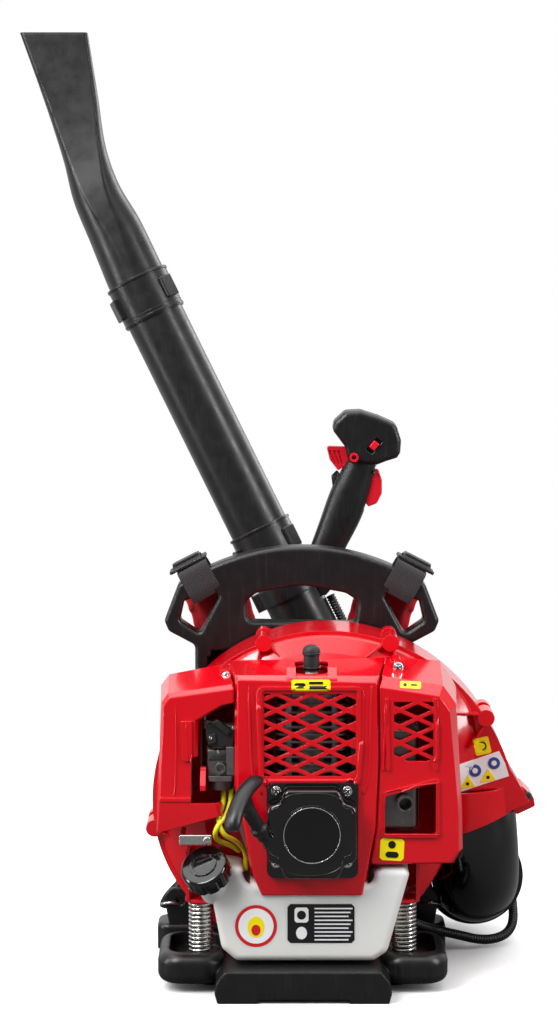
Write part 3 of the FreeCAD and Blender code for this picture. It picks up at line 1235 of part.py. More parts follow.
def save():
    os.makedirs(OUT_FOLDER, exist_ok=True)
    for name in os.listdir(OUT_FOLDER):
        os.remove(os.path.join(OUT_FOLDER, name))
    for name, shape in parts.items():
        solids = []
        for piece in shape if isinstance(shape, list) else [shape]:
            solids += piece.Solids
        bad = [s for s in solids if not s.isValid() or s.Volume <= 0]
        if bad or not solids:
            print("CHECK", name, "solids", len(solids), "bad", len(bad))
        whole = solids[0] if len(solids) == 1 else Part.makeCompound(solids)
        whole.exportStep(os.path.join(OUT_FOLDER, name + ".step"))
    print(len(parts), "nodes")


build()
save()
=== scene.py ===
import json
import math

import bmesh
import bpy
from mathutils import Matrix, Vector
from mathutils.bvhtree import BVHTree


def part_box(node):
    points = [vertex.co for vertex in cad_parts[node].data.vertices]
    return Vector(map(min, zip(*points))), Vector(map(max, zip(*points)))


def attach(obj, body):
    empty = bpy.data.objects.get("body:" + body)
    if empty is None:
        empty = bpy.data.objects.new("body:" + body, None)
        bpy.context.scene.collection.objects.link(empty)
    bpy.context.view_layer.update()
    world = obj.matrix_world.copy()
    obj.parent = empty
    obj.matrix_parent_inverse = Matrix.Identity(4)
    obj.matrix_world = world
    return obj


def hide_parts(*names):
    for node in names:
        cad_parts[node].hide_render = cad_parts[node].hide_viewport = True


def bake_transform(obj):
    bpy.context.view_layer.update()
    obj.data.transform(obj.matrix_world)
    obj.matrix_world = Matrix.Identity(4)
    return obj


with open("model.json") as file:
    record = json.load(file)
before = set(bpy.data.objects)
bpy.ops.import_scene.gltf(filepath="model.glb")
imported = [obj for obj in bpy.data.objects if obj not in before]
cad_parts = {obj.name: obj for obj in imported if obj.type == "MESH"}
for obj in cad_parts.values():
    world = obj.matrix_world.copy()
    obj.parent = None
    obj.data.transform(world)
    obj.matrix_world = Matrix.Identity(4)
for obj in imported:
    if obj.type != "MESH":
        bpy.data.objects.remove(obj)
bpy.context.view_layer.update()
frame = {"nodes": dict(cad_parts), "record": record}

NODES = frame["nodes"]
MM = 0.001
X = Vector((1, 0, 0))
Y = Vector((0, 1, 0))
Z = Vector((0, 0, 1))

# Places that the CAD model also uses, in millimetres.
TUBE_FOOT = Vector((88.7, 231.3, 190.0))
TUBE_AXIS = Vector((-0.4415, 0.0992, 0.8915)).normalized()
TUBE_R = 35.0
LOWER_JOINT = 314.0
UPPER_JOINT = 646.0
SOCKET = 45.0
ELBOW_START = Vector((193.5, 50.0, 157.0))
ELBOW_AXIS = Vector((0.083, 0.0, -0.9966)).normalized()
ELBOW_EXIT = Vector((200.1, 138.0, 77.3))
ROPE_EXIT = Vector((-34.0, -126.0, 167.0))
ROPE_AXIS = Vector((-0.42, -0.43, 0.80)).normalized()
FRAME_FRONT, FRAME_REAR = 100.0, 134.0
EAR_TOP = 422.0
WEBBING_X, EAR_SLOPE, SLIDER_SLOPE = 125.0, 29.0, 27.0
CONDUIT_LOWER = [(112, 30, 52), (124, 42, 44), (140, 56, 35), (160, 68, 27), (181, 78, 20), (203, 88, 12),
                 (224, 99, 10), (240, 112, 14), (248, 128, 26), (247, 145, 41)]
CONDUIT_UPPER = [(246.98, 145.3, 41.3), (246, 162, 56), (243, 176, 74), (240, 193, 90), (239, 210, 107),
                 (234, 224, 126), (220, 232, 144), (200, 236, 160), (177, 236, 174), (153, 235, 190),
                 (130, 234, 212), (110, 236, 242), (95, 239, 274), (78, 242, 307), (62, 245, 339),
                 (46, 248, 368), (35, 249.5, 390.5)]

# The camera and the size of its picture.
EYE = Vector((-0.026, -2.985, 0.813))
PITCH = math.radians(84.3)
LENS, SENSOR = 95.9, 36.0
VIEW_WIDTH, VIEW_HEIGHT = 558, 1024
TILT = Matrix.Rotation(PITCH, 3, "X")
FOCAL = LENS / SENSOR * VIEW_HEIGHT

# Lights: name, place, width, height, watts, height of the point that each one faces.
LIGHTS = [("key", (-1.5, -1.5, 2.2), 0.8, 1.6, 70, 0.45), ("fill", (2.2, -1.1, 1.3), 0.4, 1.9, 40, 0.4),
          ("side", (-2.2, -0.5, 0.8), 0.3, 1.8, 22, 0.4), ("rim", (1.3, 1.9, 1.5), 0.7, 1.6, 16, 0.5)]
FLOOR_LEVEL, FLOOR_RADII = -0.4, (2, 700, 1450)


# ------------------------------------------------------------------ meshes
def circle(centre, side, other, radius, count):
    """Points round a centre, in the plane of two unit vectors."""
    turns = [math.tau * k / count for k in range(count)]
    return [centre + (side * math.cos(t) + other * math.sin(t)) * radius for t in turns]


def quads(count, spans):
    """The faces between rings of so many points, each ring joined to the next."""
    faces = []
    for i in range(spans):
        here, there = i * count, (i + 1) * count
        for k in range(count):
            n = (k + 1) % count
            faces.append((here + k, here + n, there + n, there + k))
    return faces


def shade(mesh, angle=35):
    mesh.shade_smooth()
    mesh.set_sharp_from_angle(angle=math.radians(angle))


class Sculpt:
    """Collects points in millimetres and faces with a material number, then makes one object."""

    def __init__(self):
        self.verts, self.faces, self.tags, self.uvs = [], [], [], {}

    def add(self, verts, faces, tag=0, uvs=None):
        base = len(self.verts)
        self.verts += [Vector(v) for v in verts]
        for face in faces:
            self.faces.append([base + i for i in face])
            self.tags.append(tag)
        if uvs:
            for i, uv in enumerate(uvs):
                self.uvs[base + i] = uv
        return self

    def skin(self, rings, tag=0, cap=True, closed=False, uvs=None):
        """Quads through rings of points; closed joins the last ring to the first."""
        count, number = len(rings[0]), len(rings)
        faces = [tuple(v % (count * number) for v in quad)
                 for quad in quads(count, number if closed else number - 1)]
        if cap and not closed:
            faces.append(tuple(reversed(range(count))))
            faces.append(tuple((number - 1) * count + k for k in range(count)))
        return self.add([p for ring in rings for p in ring], faces, tag, uvs)

    def lathe(self, centre, axis, profile, segments=48, tag=0, cap=True):
        """Turns (radius, distance along axis) points about an axis."""
        axis = axis.normalized()
        side = axis.orthogonal().normalized()
        other = axis.cross(side)
        rings = [circle(centre + axis * along, side, other, radius, segments) for radius, along in profile]
        return self.skin(rings, tag, cap=cap)

    def slab(self, outline, depth, tag=0, bevel=0.0):
        """A prism on an outline of 3-D points, pushed along a vector, with an optional chamfered far edge."""
        rings = [outline]
        if bevel:
            centre = sum(outline, Vector()) / len(outline)
            rings.append([p + depth * (1 - bevel / depth.length) for p in outline])
            rings.append([p + depth + (centre - p).normalized() * bevel for p in outline])
        else:
            rings.append([p + depth for p in outline])
        return self.skin(rings, tag)

    def object(self, name):
        mesh = bpy.data.meshes.new(name)
        mesh.from_pydata([tuple(v * MM) for v in self.verts], [], self.faces)
        for polygon, tag in zip(mesh.polygons, self.tags):
            polygon.material_index = tag
        if self.uvs:
            layer = mesh.uv_layers.new(name="weave")
            for loop in mesh.loops:
                layer.data[loop.index].uv = self.uvs.get(loop.vertex_index, (0, 0))
        mesh.update()
        shade(mesh)
        obj = bpy.data.objects.new(name, mesh)
        bpy.context.scene.collection.objects.link(obj)
        return obj


def outward(obj):
    """Makes every face look out of its closed shell."""
    work = bmesh.new()
    work.from_mesh(obj.data)
    bmesh.ops.recalc_face_normals(work, faces=work.faces)
    work.to_mesh(obj.data)
    work.free()
    shade(obj.data)


def settle(obj, body, slot, replaces=(), paints=None, recalc=True):
    """Gives a piece its paint (the slot's material unless paints are given), turns its faces outward unless
    recalc is off, hangs it on its body and hides the CAD nodes it stands for; a blended piece has no body.
    """
    for paint in paints or [slot]:
        obj.data.materials.append(PAINTS[paint])
    if recalc:
        outward(obj)
    if body:
        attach(obj, body)
    if replaces:
        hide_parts(*replaces)


# ------------------------------------------------------------------ paths
def nurbs_path(points):
    """The line of a NURBS spline on these control points, in millimetres."""
    curve = bpy.data.curves.new("route", "CURVE")
    curve.dimensions = "3D"
    spline = curve.splines.new("NURBS")
    spline.points.add(len(points) - 1)
    for target, point in zip(spline.points, points):
        target.co = (*[c * MM for c in point], 1.0)
    spline.order_u = 3
    spline.use_endpoint_u = True
    spline.resolution_u = 24
    holder = bpy.data.objects.new("route", curve)
    mesh = bpy.data.meshes.new_from_object(holder)
    path = [v.co / MM for v in mesh.vertices]
    bpy.data.objects.remove(holder)
    bpy.data.meshes.remove(mesh)
    bpy.data.curves.remove(curve)
    return path


def respaced(path, step):
    """The same line with points a constant step apart."""
    total = sum((b - a).length for a, b in zip(path, path[1:]))
    count = max(2, round(total / step))
    gap = total / count
    points, walked, goal = [path[0].copy()], 0.0, gap
    for a, b in zip(path, path[1:]):
        leg = (b - a).length
        while leg > 0 and walked + leg >= goal - 1e-9 and len(points) < count:
            points.append(a.lerp(b, (goal - walked) / leg))
            goal += gap
        walked += leg
    points.append(path[-1].copy())
    return points


def travel_frames(path):
    """Tangent, side and up at each point, turning as little as they can."""
    frames = []
    side = None
    for behind, ahead in zip(path[:1] + path[:-1], path[1:] + path[-1:]):
        tangent = (ahead - behind).normalized()
        if side is None:
            side = tangent.orthogonal()
        side = (side - tangent * side.dot(tangent)).normalized()
        frames.append((tangent, side, tangent.cross(side)))
    return frames


def distances(path):
    """How far along the line each of its points is."""
    walked = [0.0]
    for a, b in zip(path, path[1:]):
        walked.append(walked[-1] + (b - a).length)
    return walked


def sweep(shape, path, radius_at, segments):
    """A round sweep; radius_at(distance, angle) may ripple along it or about it."""
    rings = []
    for point, (_, side, up), distance in zip(path, travel_frames(path), distances(path)):
        ring = []
        for k in range(segments):
            t = math.tau * k / segments
            ring.append(point + (side * math.cos(t) + up * math.sin(t)) * radius_at(distance, t))
        rings.append(ring)
    return shape.skin(rings)


def strap(shape, path, width_axis, width, thickness, steps=10):
    """A flat woven band along a path; width_axis is across it, or a function of the point's number."""
    half_w, half_t = width / 2, thickness / 2
    profile = [(-half_w + width * k / steps, half_t) for k in range(steps + 1)]
    profile += [(half_w - width * k / steps, -half_t) for k in range(steps + 1)]
    rings, uvs = [], []
    for i, (point, (tangent, _, _), distance) in enumerate(zip(path, travel_frames(path), distances(path))):
        across = width_axis(i) if callable(width_axis) else width_axis
        across = (across - tangent * across.dot(tangent)).normalized()
        normal = tangent.cross(across)
        ring = []
        for u, w in profile:
            thinned = 1.0 - 0.55 * max(0.0, (abs(u) / half_w - 0.9) / 0.1)
            ring.append(point + across * u + normal * (w * thinned))
            uvs.append((u, distance))
        rings.append(ring)
    return shape.skin(rings, uvs=uvs)


def catmull(values, t):
    """A smooth curve through evenly numbered tuples of numbers; t runs from 0 to their last number."""
    last = len(values) - 1
    i = min(int(t), last - 1)
    u = t - i
    p = [values[max(0, min(last, i + k))] for k in (-1, 0, 1, 2)]
    result = []
    for a, b, c, d in zip(*p):
        result.append(0.5 * (2 * b + (c - a) * u + (2 * a - 5 * b + 4 * c - d) * u * u
                             + (3 * b - a - 3 * c + d) * u ** 3))
    return result


# ------------------------------------------------------------------ camera, light and floor
def make_camera():
    data = bpy.data.cameras.new("camera")
    data.lens = LENS
    data.sensor_width = SENSOR
    camera = bpy.data.objects.new("camera", data)
    camera.location = EYE
    camera.rotation_euler = (PITCH, 0, 0)
    bpy.context.scene.collection.objects.link(camera)
    bpy.context.scene.camera = camera


def softbox(name, place, width, height, power, aim):
    data = bpy.data.lights.new(name, "AREA")
    data.shape = "RECTANGLE"
    data.size, data.size_y = width, height
    data.energy = power
    light = bpy.data.objects.new(name, data)
    light.location = place
    light.rotation_euler = (Z * aim - Vector(place)).to_track_quat("-Z", "Y").to_euler()
    bpy.context.scene.collection.objects.link(light)


def make_world():
    """White to the camera; to the object, a grey sky that is brighter above and behind."""
    world = bpy.data.worlds.new("studio")
    bpy.context.scene.world = world
    world.use_nodes = True
    tree = world.node_tree
    background = tree.nodes["Background"]
    direction = tree.nodes.new("ShaderNodeTexCoord")
    split = tree.nodes.new("ShaderNodeSeparateXYZ")
    tree.links.new(direction.outputs["Generated"], split.inputs[0])
    total = tree.nodes.new("ShaderNodeMath")
    total.operation = "ADD"
    total.use_clamp = True
    for socket, axis, low, high, bright in zip(total.inputs, "ZY", (0.1, -0.3), (1.0, 0.7), (0.4, 0.6)):
        fade = tree.nodes.new("ShaderNodeMapRange")
        fade.interpolation_type = "SMOOTHSTEP"
        tree.links.new(split.outputs[axis], fade.inputs["Value"])
        for key, number in (("From Min", low), ("From Max", high), ("To Min", 0.0), ("To Max", bright)):
            fade.inputs[key].default_value = number
        tree.links.new(fade.outputs["Result"], socket)
    lifted = tree.nodes.new("ShaderNodeMath")
    lifted.operation = "ADD"
    lifted.inputs[1].default_value = 0.16
    tree.links.new(total.outputs[0], lifted.inputs[0])
    seen = tree.nodes.new("ShaderNodeLightPath")
    backdrop = tree.nodes.new("ShaderNodeMix")
    tree.links.new(seen.outputs["Is Camera Ray"], backdrop.inputs["Factor"])
    tree.links.new(lifted.outputs[0], backdrop.inputs[2])
    backdrop.inputs[3].default_value = 1.0
    background.inputs["Color"].default_value = (1.0, 1.0, 1.0, 1.0)
    tree.links.new(backdrop.outputs[0], background.inputs["Strength"])


def make_stage():
    bpy.context.scene.view_settings.view_transform = "Standard"
    make_world()
    for light in LIGHTS:
        softbox(*light)
    overhead = bpy.data.lights.new("overhead", "SUN")
    overhead.energy = 1.9
    overhead.angle = math.radians(70)
    lamp = bpy.data.objects.new("overhead", overhead)
    bpy.context.scene.collection.objects.link(lamp)
    rings = [circle(Z * FLOOR_LEVEL, X, Y, radius, 96) for radius in FLOOR_RADII]
    floor = Sculpt().skin(rings, cap=False)
    floor.add(rings[0], [tuple(range(96))])
    obj = floor.object("floor")
    obj.data.materials.append(floor_paint())


# ------------------------------------------------------------------ material building blocks
class Paint:
    """A node material with a principled shader, and short names for the nodes it is built from."""

    def __init__(self, name, **sockets):
        self.material = bpy.data.materials.new(name)
        self.material.use_nodes = True
        self.tree = self.material.node_tree
        self.shader = self.tree.nodes["Principled BSDF"]
        for key, value in sockets.items():
            if isinstance(value, tuple) and len(value) == 3 and key != "Subsurface_Radius":
                value = (*value, 1.0)
            self.shader.inputs[key.replace("_", " ")].default_value = value
        self.coords = self.tree.nodes.new("ShaderNodeTexCoord")

    def node(self, kind, **settings):
        node = self.tree.nodes.new(kind)
        for key, value in settings.items():
            setattr(node, key, value)
        return node

    def link(self, source, target):
        self.tree.links.new(source, target)

    def noise(self, size_mm, detail=4.0, roughness=0.55, stretch=(1, 1, 1)):
        """Noise with features of about this size."""
        mapping = self.node("ShaderNodeMapping")
        mapping.inputs["Scale"].default_value = stretch
        self.link(self.coords.outputs["Object"], mapping.inputs["Vector"])
        texture = self.node("ShaderNodeTexNoise")
        texture.inputs["Scale"].default_value = 1.0 / (size_mm * MM)
        texture.inputs["Detail"].default_value = detail
        texture.inputs["Roughness"].default_value = roughness
        self.link(mapping.outputs["Vector"], texture.inputs["Vector"])
        return texture.outputs["Fac"]

    def scaled(self, value, low, high, out_low, out_high):
        node = self.node("ShaderNodeMapRange")
        self.link(value, node.inputs["Value"])
        for key, number in (("From Min", low), ("From Max", high), ("To Min", out_low), ("To Max", out_high)):
            node.inputs[key].default_value = number
        return node.outputs["Result"]

    def maths(self, operation, a, b=None):
        node = self.node("ShaderNodeMath", operation=operation)
        for socket, value in zip(node.inputs, (a, b)):
            if value is None:
                continue
            if isinstance(value, (int, float)):
                socket.default_value = value
            else:
                self.link(value, socket)
        return node.outputs["Value"]

    def mix(self, factor, a, b):
        node = self.node("ShaderNodeMix", data_type="RGBA")
        self.link(factor, node.inputs["Factor"])
        for socket, value in ((node.inputs[6], a), (node.inputs[7], b)):
            if isinstance(value, tuple):
                socket.default_value = (*value, 1.0)
            else:
                self.link(value, socket)
        return node.outputs[2]

    def rounded(self, radius_mm):
        """A normal that rounds the edges of machined or moulded corners."""
        node = self.node("ShaderNodeBevel", samples=4)
        node.inputs["Radius"].default_value = radius_mm * MM
        return node.outputs["Normal"]

    def edges(self, rounded_normal):
        """One near a corner, nought on a flat."""
        geometry = self.node("ShaderNodeNewGeometry")
        dot = self.node("ShaderNodeVectorMath", operation="DOT_PRODUCT")
        self.link(rounded_normal, dot.inputs[0])
        self.link(geometry.outputs["Normal"], dot.inputs[1])
        return self.scaled(dot.outputs["Value"], 0.995, 0.88, 0.0, 1.0)

    def bump(self, height, distance_mm, strength=1.0, normal=None):
        node = self.node("ShaderNodeBump")
        node.inputs["Distance"].default_value = distance_mm * MM
        node.inputs["Strength"].default_value = strength
        self.link(height, node.inputs["Height"])
        if normal is not None:
            self.link(normal, node.inputs["Normal"])
        return node.outputs["Normal"]

    def colour(self, socket):
        self.link(socket, self.shader.inputs["Base Color"])

    def roughness(self, socket):
        self.link(socket, self.shader.inputs["Roughness"])

    def normal(self, socket):
        self.link(socket, self.shader.inputs["Normal"])


def tint(colour, factor):
    return tuple(min(1.0, c * factor) for c in colour)


def moulded(name, colour, rough, grain_mm=0.0, grain_depth=0.0, edge=0.8, wear=0.0, coat=0.0, drift=0.08,
            drift_mm=45.0, scratch=0.0):
    """Injection-moulded plastic: slow colour drift, uneven polish, grain, rounded and worn corners."""
    p = Paint(name, Base_Color=colour, Roughness=rough, Coat_Weight=coat, Coat_Roughness=0.06)
    slow = p.noise(drift_mm, 3.0)
    base = p.mix(slow, tint(colour, 1 - drift), tint(colour, 1 + drift))
    rounded = p.rounded(edge)
    polish = p.scaled(p.noise(drift_mm * 0.35, 5.0), 0.25, 0.75, rough * 0.8, rough * 1.25)
    if scratch:
        streak = p.noise(2.2, 2.0, 0.5, (1.0, 1.0, 0.06))
        streak = p.scaled(streak, 0.56, 0.74, 0.0, scratch)
        base = p.mix(streak, base, tuple(c + 0.05 for c in colour))
        polish = p.maths("ADD", polish, p.maths("MULTIPLY", streak, 0.12))
    if wear:
        patches = p.scaled(p.noise(6.0, 6.0, 0.7), 0.38, 0.62, 0.0, wear)
        corner = p.maths("MULTIPLY", p.edges(rounded), patches)
        base = p.mix(corner, base, tuple(c + 0.11 for c in colour))
    p.colour(base)
    p.roughness(polish)
    surface = rounded
    if grain_depth:
        surface = p.bump(p.noise(grain_mm, 3.0, 0.6), grain_depth, 0.6, surface)
    p.normal(p.bump(p.noise(26.0, 2.0), 0.25, 0.25, surface))
    return p.material


def metal(name, colour, rough, brush=0.0, edge=0.4, stain=0.12, cast=0.0):
    p = Paint(name, Base_Color=colour, Roughness=rough, Metallic=1.0)
    cloudy = p.noise(14.0, 5.0, 0.65)
    p.colour(p.mix(cloudy, tint(colour, 1 - stain), tint(colour, 1 + stain * 0.5)))
    p.roughness(p.scaled(p.noise(5.0, 4.0), 0.3, 0.7, rough * 0.75, rough * 1.35))
    surface = p.rounded(edge)
    if brush:
        surface = p.bump(p.noise(0.5, 2.0, 0.5, (1.0, 1.0, 0.05)), brush, 0.5, surface)
    if cast:
        surface = p.bump(p.noise(0.9, 4.0, 0.7), cast, 0.8, surface)
    p.normal(surface)
    return p.material


def woven(name, colour, light, pitch, depth, sheen, space="UV"):
    """Webbing or cloth: crossing yarns as two sets of waves, with fuzz and faded patches; the yarn crests
    take the lighter second colour, a painted highlight.
    """
    p = Paint(name, Base_Color=colour, Roughness=0.85, Sheen_Weight=sheen, Sheen_Roughness=0.5)
    split = p.node("ShaderNodeSeparateXYZ")
    p.link(p.coords.outputs[space], split.inputs[0])
    scale = math.tau / pitch if space == "UV" else math.tau / (pitch * MM)
    along = p.maths("SINE", p.maths("MULTIPLY", split.outputs["X"], scale))
    axis = "Y" if space == "UV" else "Z"
    across = p.maths("SINE", p.maths("MULTIPLY", split.outputs[axis], scale * 0.8))
    cross = p.maths("MULTIPLY", along, across)
    yarn = p.scaled(cross, -1.0, 1.0, 0.0, 1.0)
    fade = p.noise(30.0, 4.0)
    body = p.mix(fade, tint(colour, 0.8), tint(colour, 1.25))
    # Painted highlight: the crests of the yarn are coloured towards the lighter second colour.
    p.colour(p.mix(p.scaled(yarn, 0.35, 1.0, 0.0, 0.65), body, light))
    fuzz = p.noise(0.25, 2.0)
    height = p.maths("ADD", yarn, p.maths("MULTIPLY", fuzz, 0.35))
    p.normal(p.bump(height, depth, 0.9))
    return p.material


def floor_paint():
    """Pale to the camera and dark to the object, so that it doesn't wash out the low front faces."""
    p = Paint("floor_paint", Base_Color=(0.93, 0.93, 0.93), Roughness=0.8, Specular_IOR_Level=0.1)
    pale = p.mix(p.noise(400.0, 2.0), (0.92, 0.92, 0.92), (0.94, 0.94, 0.94))
    seen = p.node("ShaderNodeLightPath")
    p.colour(p.mix(seen.outputs["Is Camera Ray"], (0.1, 0.1, 0.1), pale))
    return p.material


def tank_paint():
    """Milky polythene: light goes into it, and fuel shows as a darker level behind the wall."""
    white = (0.86, 0.855, 0.82)
    p = Paint("tank_paint", Base_Color=white, Roughness=0.36, Subsurface_Weight=0.55, Subsurface_Scale=0.012,
              Subsurface_Radius=(1.0, 0.9, 0.7))
    split = p.node("ShaderNodeSeparateXYZ")
    p.link(p.coords.outputs["Object"], split.inputs[0])
    height = p.scaled(split.outputs["Z"], 0.04, 0.12, 0.0, 1.0)
    cloud = p.mix(p.noise(20.0, 3.0), tint(white, 0.95), white)
    p.colour(p.mix(height, tint((0.84, 0.82, 0.76), 0.97), cloud))
    p.roughness(p.scaled(p.noise(9.0, 4.0), 0.3, 0.7, 0.3, 0.44))
    p.normal(p.bump(p.noise(1.1, 3.0), 0.05, 0.5, p.rounded(2.0)))
    return p.material


RED = (0.63, 0.0006, 0.008)


def make_paints():
    black, dark = (0.0025, 0.0025, 0.003), (0.006, 0.006, 0.007)
    return {
        "red_plastic": moulded("red_gloss", RED, 0.16, edge=1.4, coat=0.3, drift=0.05),
        "frame_plastic": moulded("black_satin_frame", (0.006, 0.0062, 0.007), 0.32, 0.7, 0.04, edge=3.4,
                                 wear=0.3, scratch=0.14, drift=0.3),
        "tube_plastic": moulded("black_satin_tube", (0.0065, 0.0065, 0.007), 0.33, 0.6, 0.02, edge=1.0,
                                wear=0.3, scratch=0.1, drift=0.2),
        "gloss_black_plastic": moulded("black_gloss", black, 0.1, edge=1.0, coat=0.5),
        "tank_plastic": tank_paint(),
        "zinc_steel": metal("zinc_plate", (0.72, 0.72, 0.70), 0.24, 0.01),
        "chrome_steel": metal("bright_chrome", (0.82, 0.82, 0.83), 0.09, edge=0.5, stain=0.05),
        "dark_steel": metal("dark_steel", (0.20, 0.195, 0.19), 0.38, 0.012),
        "cast_aluminium": metal("cast_aluminium", (0.27, 0.265, 0.26), 0.44, cast=0.06, edge=0.7),
        "rubber_black": moulded("rubber", (0.012, 0.012, 0.012), 0.55, 0.5, 0.05, edge=1.0, drift=0.2),
        # The second colour of each woven paint is the painted highlight on its yarn crests.
        "webbing": woven("black_webbing", (0.009, 0.009, 0.01), (0.055, 0.055, 0.06), 2.6, 0.45, 0.2),
        "pad_fabric": woven("red_pad_cloth", (0.62, 0.004, 0.013), (0.7, 0.01, 0.024), 1.1, 0.2, 0.12,
                            "Object"),
        "cushion_fabric": woven("black_cushion_cloth", (0.016, 0.016, 0.018), (0.05, 0.05, 0.055), 1.6, 0.4,
                                0.3, "Object"),
        "fuel_hose": moulded("yellow_hose", (0.80, 0.78, 0.02), 0.3, edge=0.3, drift=0.15, drift_mm=12.0),
        "filter_foam": moulded("filter_foam", (0.05, 0.05, 0.052), 0.9, 1.2, 0.6, edge=1.0, drift=0.3),
        "badge_plastic": moulded("badge_gloss", black, 0.2, edge=0.4, coat=0.1),
        "yellow_label": moulded("yellow_label", (0.95, 0.78, 0.0), 0.3, edge=0.2, drift=0.03),
        "white_label": moulded("white_label", (0.86, 0.86, 0.87), 0.3, edge=0.2, drift=0.02),
        "dark_ink": moulded("dark_ink", dark, 0.3, edge=0.1, drift=0.1),
        "blue_ink": moulded("blue_ink", (0.03, 0.07, 0.3), 0.3, edge=0.1, drift=0.1),
        "red_ink": moulded("red_ink", (0.62, 0.01, 0.015), 0.3, edge=0.1, drift=0.05),
        "control_red": moulded("red_satin", (0.68, 0.004, 0.018), 0.3, 0.6, 0.015, edge=0.8),
    }


PAINTS = make_paints()


def paint_nodes():
    """Every CAD node takes its record slot's material."""
    slots = {entry["node"]: entry["material_slot"] for entry in frame["record"]["subparts"]}
    for name, obj in NODES.items():
        obj.data.materials.clear()
        obj.data.materials.append(PAINTS[slots[name]])
        shade(obj.data, 32)


# ------------------------------------------------------------------ drawing on the surface seen in front
def view_ray(u, v):
    """The direction from the camera through a place in its picture."""
    return (TILT @ Vector((u - VIEW_WIDTH / 2, VIEW_HEIGHT / 2 - v, -FOCAL))).normalized()


def view_point(u, v, y):
    """The point under a place in the picture, on the upright plane at y millimetres."""
    ray = view_ray(u, v)
    eye = EYE / MM
    return eye + ray * ((y - eye.y) / ray.y)


class Surface:
    """The front of some CAD nodes, on which labels and ribs are laid."""

    def __init__(self, *names):
        verts, faces = [], []
        for name in names:
            obj = NODES[name]
            base = len(verts)
            place = obj.matrix_world
            verts += [place @ v.co for v in obj.data.vertices]
            faces += [[base + i for i in polygon.vertices] for polygon in obj.data.polygons]
        self.tree = BVHTree.FromPolygons(verts, faces)

    def at(self, u, v):
        """Point and outward normal under a place in the picture, in millimetres."""
        ray = view_ray(u, v)
        point, normal, _, _ = self.tree.ray_cast(EYE, ray)
        if point is None:
            point, normal, _, _ = self.tree.find_nearest(EYE + ray * 2.9)
        if normal.dot(ray) > 0:
            normal = -normal
        return point / MM, normal


def walk(places, step, closed=False):
    """Places about a step apart along straight lines in the view."""
    line = []
    for a, b in zip(places, places[1:] + (places[:1] if closed else [])):
        steps = max(1 if closed else 2, round(math.hypot(b[0] - a[0], b[1] - a[1]) / step))
        line += [(a[0] + (b[0] - a[0]) * k / steps, a[1] + (b[1] - a[1]) * k / steps) for k in range(steps)]
    return line


def label(shape, surface, outline, lift, tag, rings=9, sunk=0.25):
    """A thin closed film on the surface: outline is view places round a middle that sees them all."""
    mid_u, mid_v = [sum(p[i] for p in outline) / len(outline) for i in (0, 1)]
    edge = walk(outline, 2.0, closed=True)
    if len(edge) < 12:
        halves = [((q[0] + r[0]) / 2, (q[1] + r[1]) / 2) for q, r in zip(edge, edge[1:] + edge[:1])]
        edge = [place for pair in zip(edge, halves) for place in pair]
    hub, hub_normal = surface.at(mid_u, mid_v)
    verts, base = [], []
    for k in range(rings, 0, -1):
        share = k / rings
        hits = [surface.at(mid_u + (u - mid_u) * share, mid_v + (v - mid_v) * share) for u, v in edge]
        verts += [p + n * lift for p, n in hits]
        base = base or [p - n * sunk for p, n in hits]
    count = len(edge)
    hub_index, last, offset = rings * count, (rings - 1) * count, rings * count + 1
    faces = quads(count, rings - 1)
    faces += [(last + k, last + (k + 1) % count, hub_index) for k in range(count)]
    faces += [(k, offset + k, offset + (k + 1) % count, (k + 1) % count) for k in range(count)]
    faces.append(tuple(offset + k for k in reversed(range(count))))
    shape.add(verts + [hub + hub_normal * lift] + base, faces, tag)


def disc(u, v, radius, squash=1.0, count=20):
    turns = [math.tau * k / count for k in range(count)]
    return [(u + radius * math.cos(t), v + radius * squash * math.sin(t)) for t in turns]


def block(u, v, width, height, turn=0.0, corner=0.0):
    """A rectangle in the view, turned clockwise by so many degrees, with cut corners."""
    c, s = math.cos(math.radians(turn)), math.sin(math.radians(turn))
    w, h = width / 2, height / 2
    points = [(-w + corner, -h), (w - corner, -h), (w, -h + corner), (w, h - corner),
              (w - corner, h), (-w + corner, h), (-w, h - corner), (-w, -h + corner)]
    if not corner:
        points = [(-w, -h), (w, -h), (w, h), (-w, h)]
    return [(u + x * c - y * s, v + x * s + y * c) for x, y in points]


def rib(shape, surface, places, width, height, smooth=True):
    """A rounded bead that follows the surface under a line of places in the view."""
    if smooth:
        steps = max(2, len(places) * 8)
        line = [catmull(places, (len(places) - 1) * k / steps) for k in range(steps + 1)]
    else:
        line = walk(places, 3) + places[-1:]
    hits = [surface.at(*p) for p in line]
    rings = []
    for i, (point, normal) in enumerate(hits):
        tangent = (hits[min(i + 1, len(hits) - 1)][0] - hits[max(i - 1, 0)][0]).normalized()
        across = tangent.cross(normal).normalized() * (width / 2)
        size = min(1.0, 0.35 + 0.3 * min(i, len(hits) - 1 - i))
        ring = []
        for k in range(9):
            a = math.pi * k / 8
            ring.append(point + across * (math.cos(a) * size) + normal * (math.sin(a) * height * size - 0.3))
        rings.append(ring)
    shape.skin(rings)


# ------------------------------------------------------------------ nozzle and tubes
# left x, z; right x, z; middle y; half depth; squareness; flat share of the front
NOZZLE = [(-223.4, 741.5, -160.8, 772.5, 294.4, 34.9, 2.0, 0.0),
          (-230.5, 755.8, -167.9, 786.8, 296.0, 34.9, 2.0, 0.0),
          (-252, 809, -193, 838, 302, 34, 2.0, 0.03), (-272, 858, -218, 880, 307, 32, 2.1, 0.10),
          (-284.5, 908, -234, 926, 311, 27, 2.3, 0.24), (-306, 975, -243, 985, 316, 19.5, 2.7, 0.33),
          (-336, 1059, -255, 1059, 322, 11.5, 3.2, 0.34)]
NOZZLE_POINTS = 96
NOZZLE_STEPS = 72


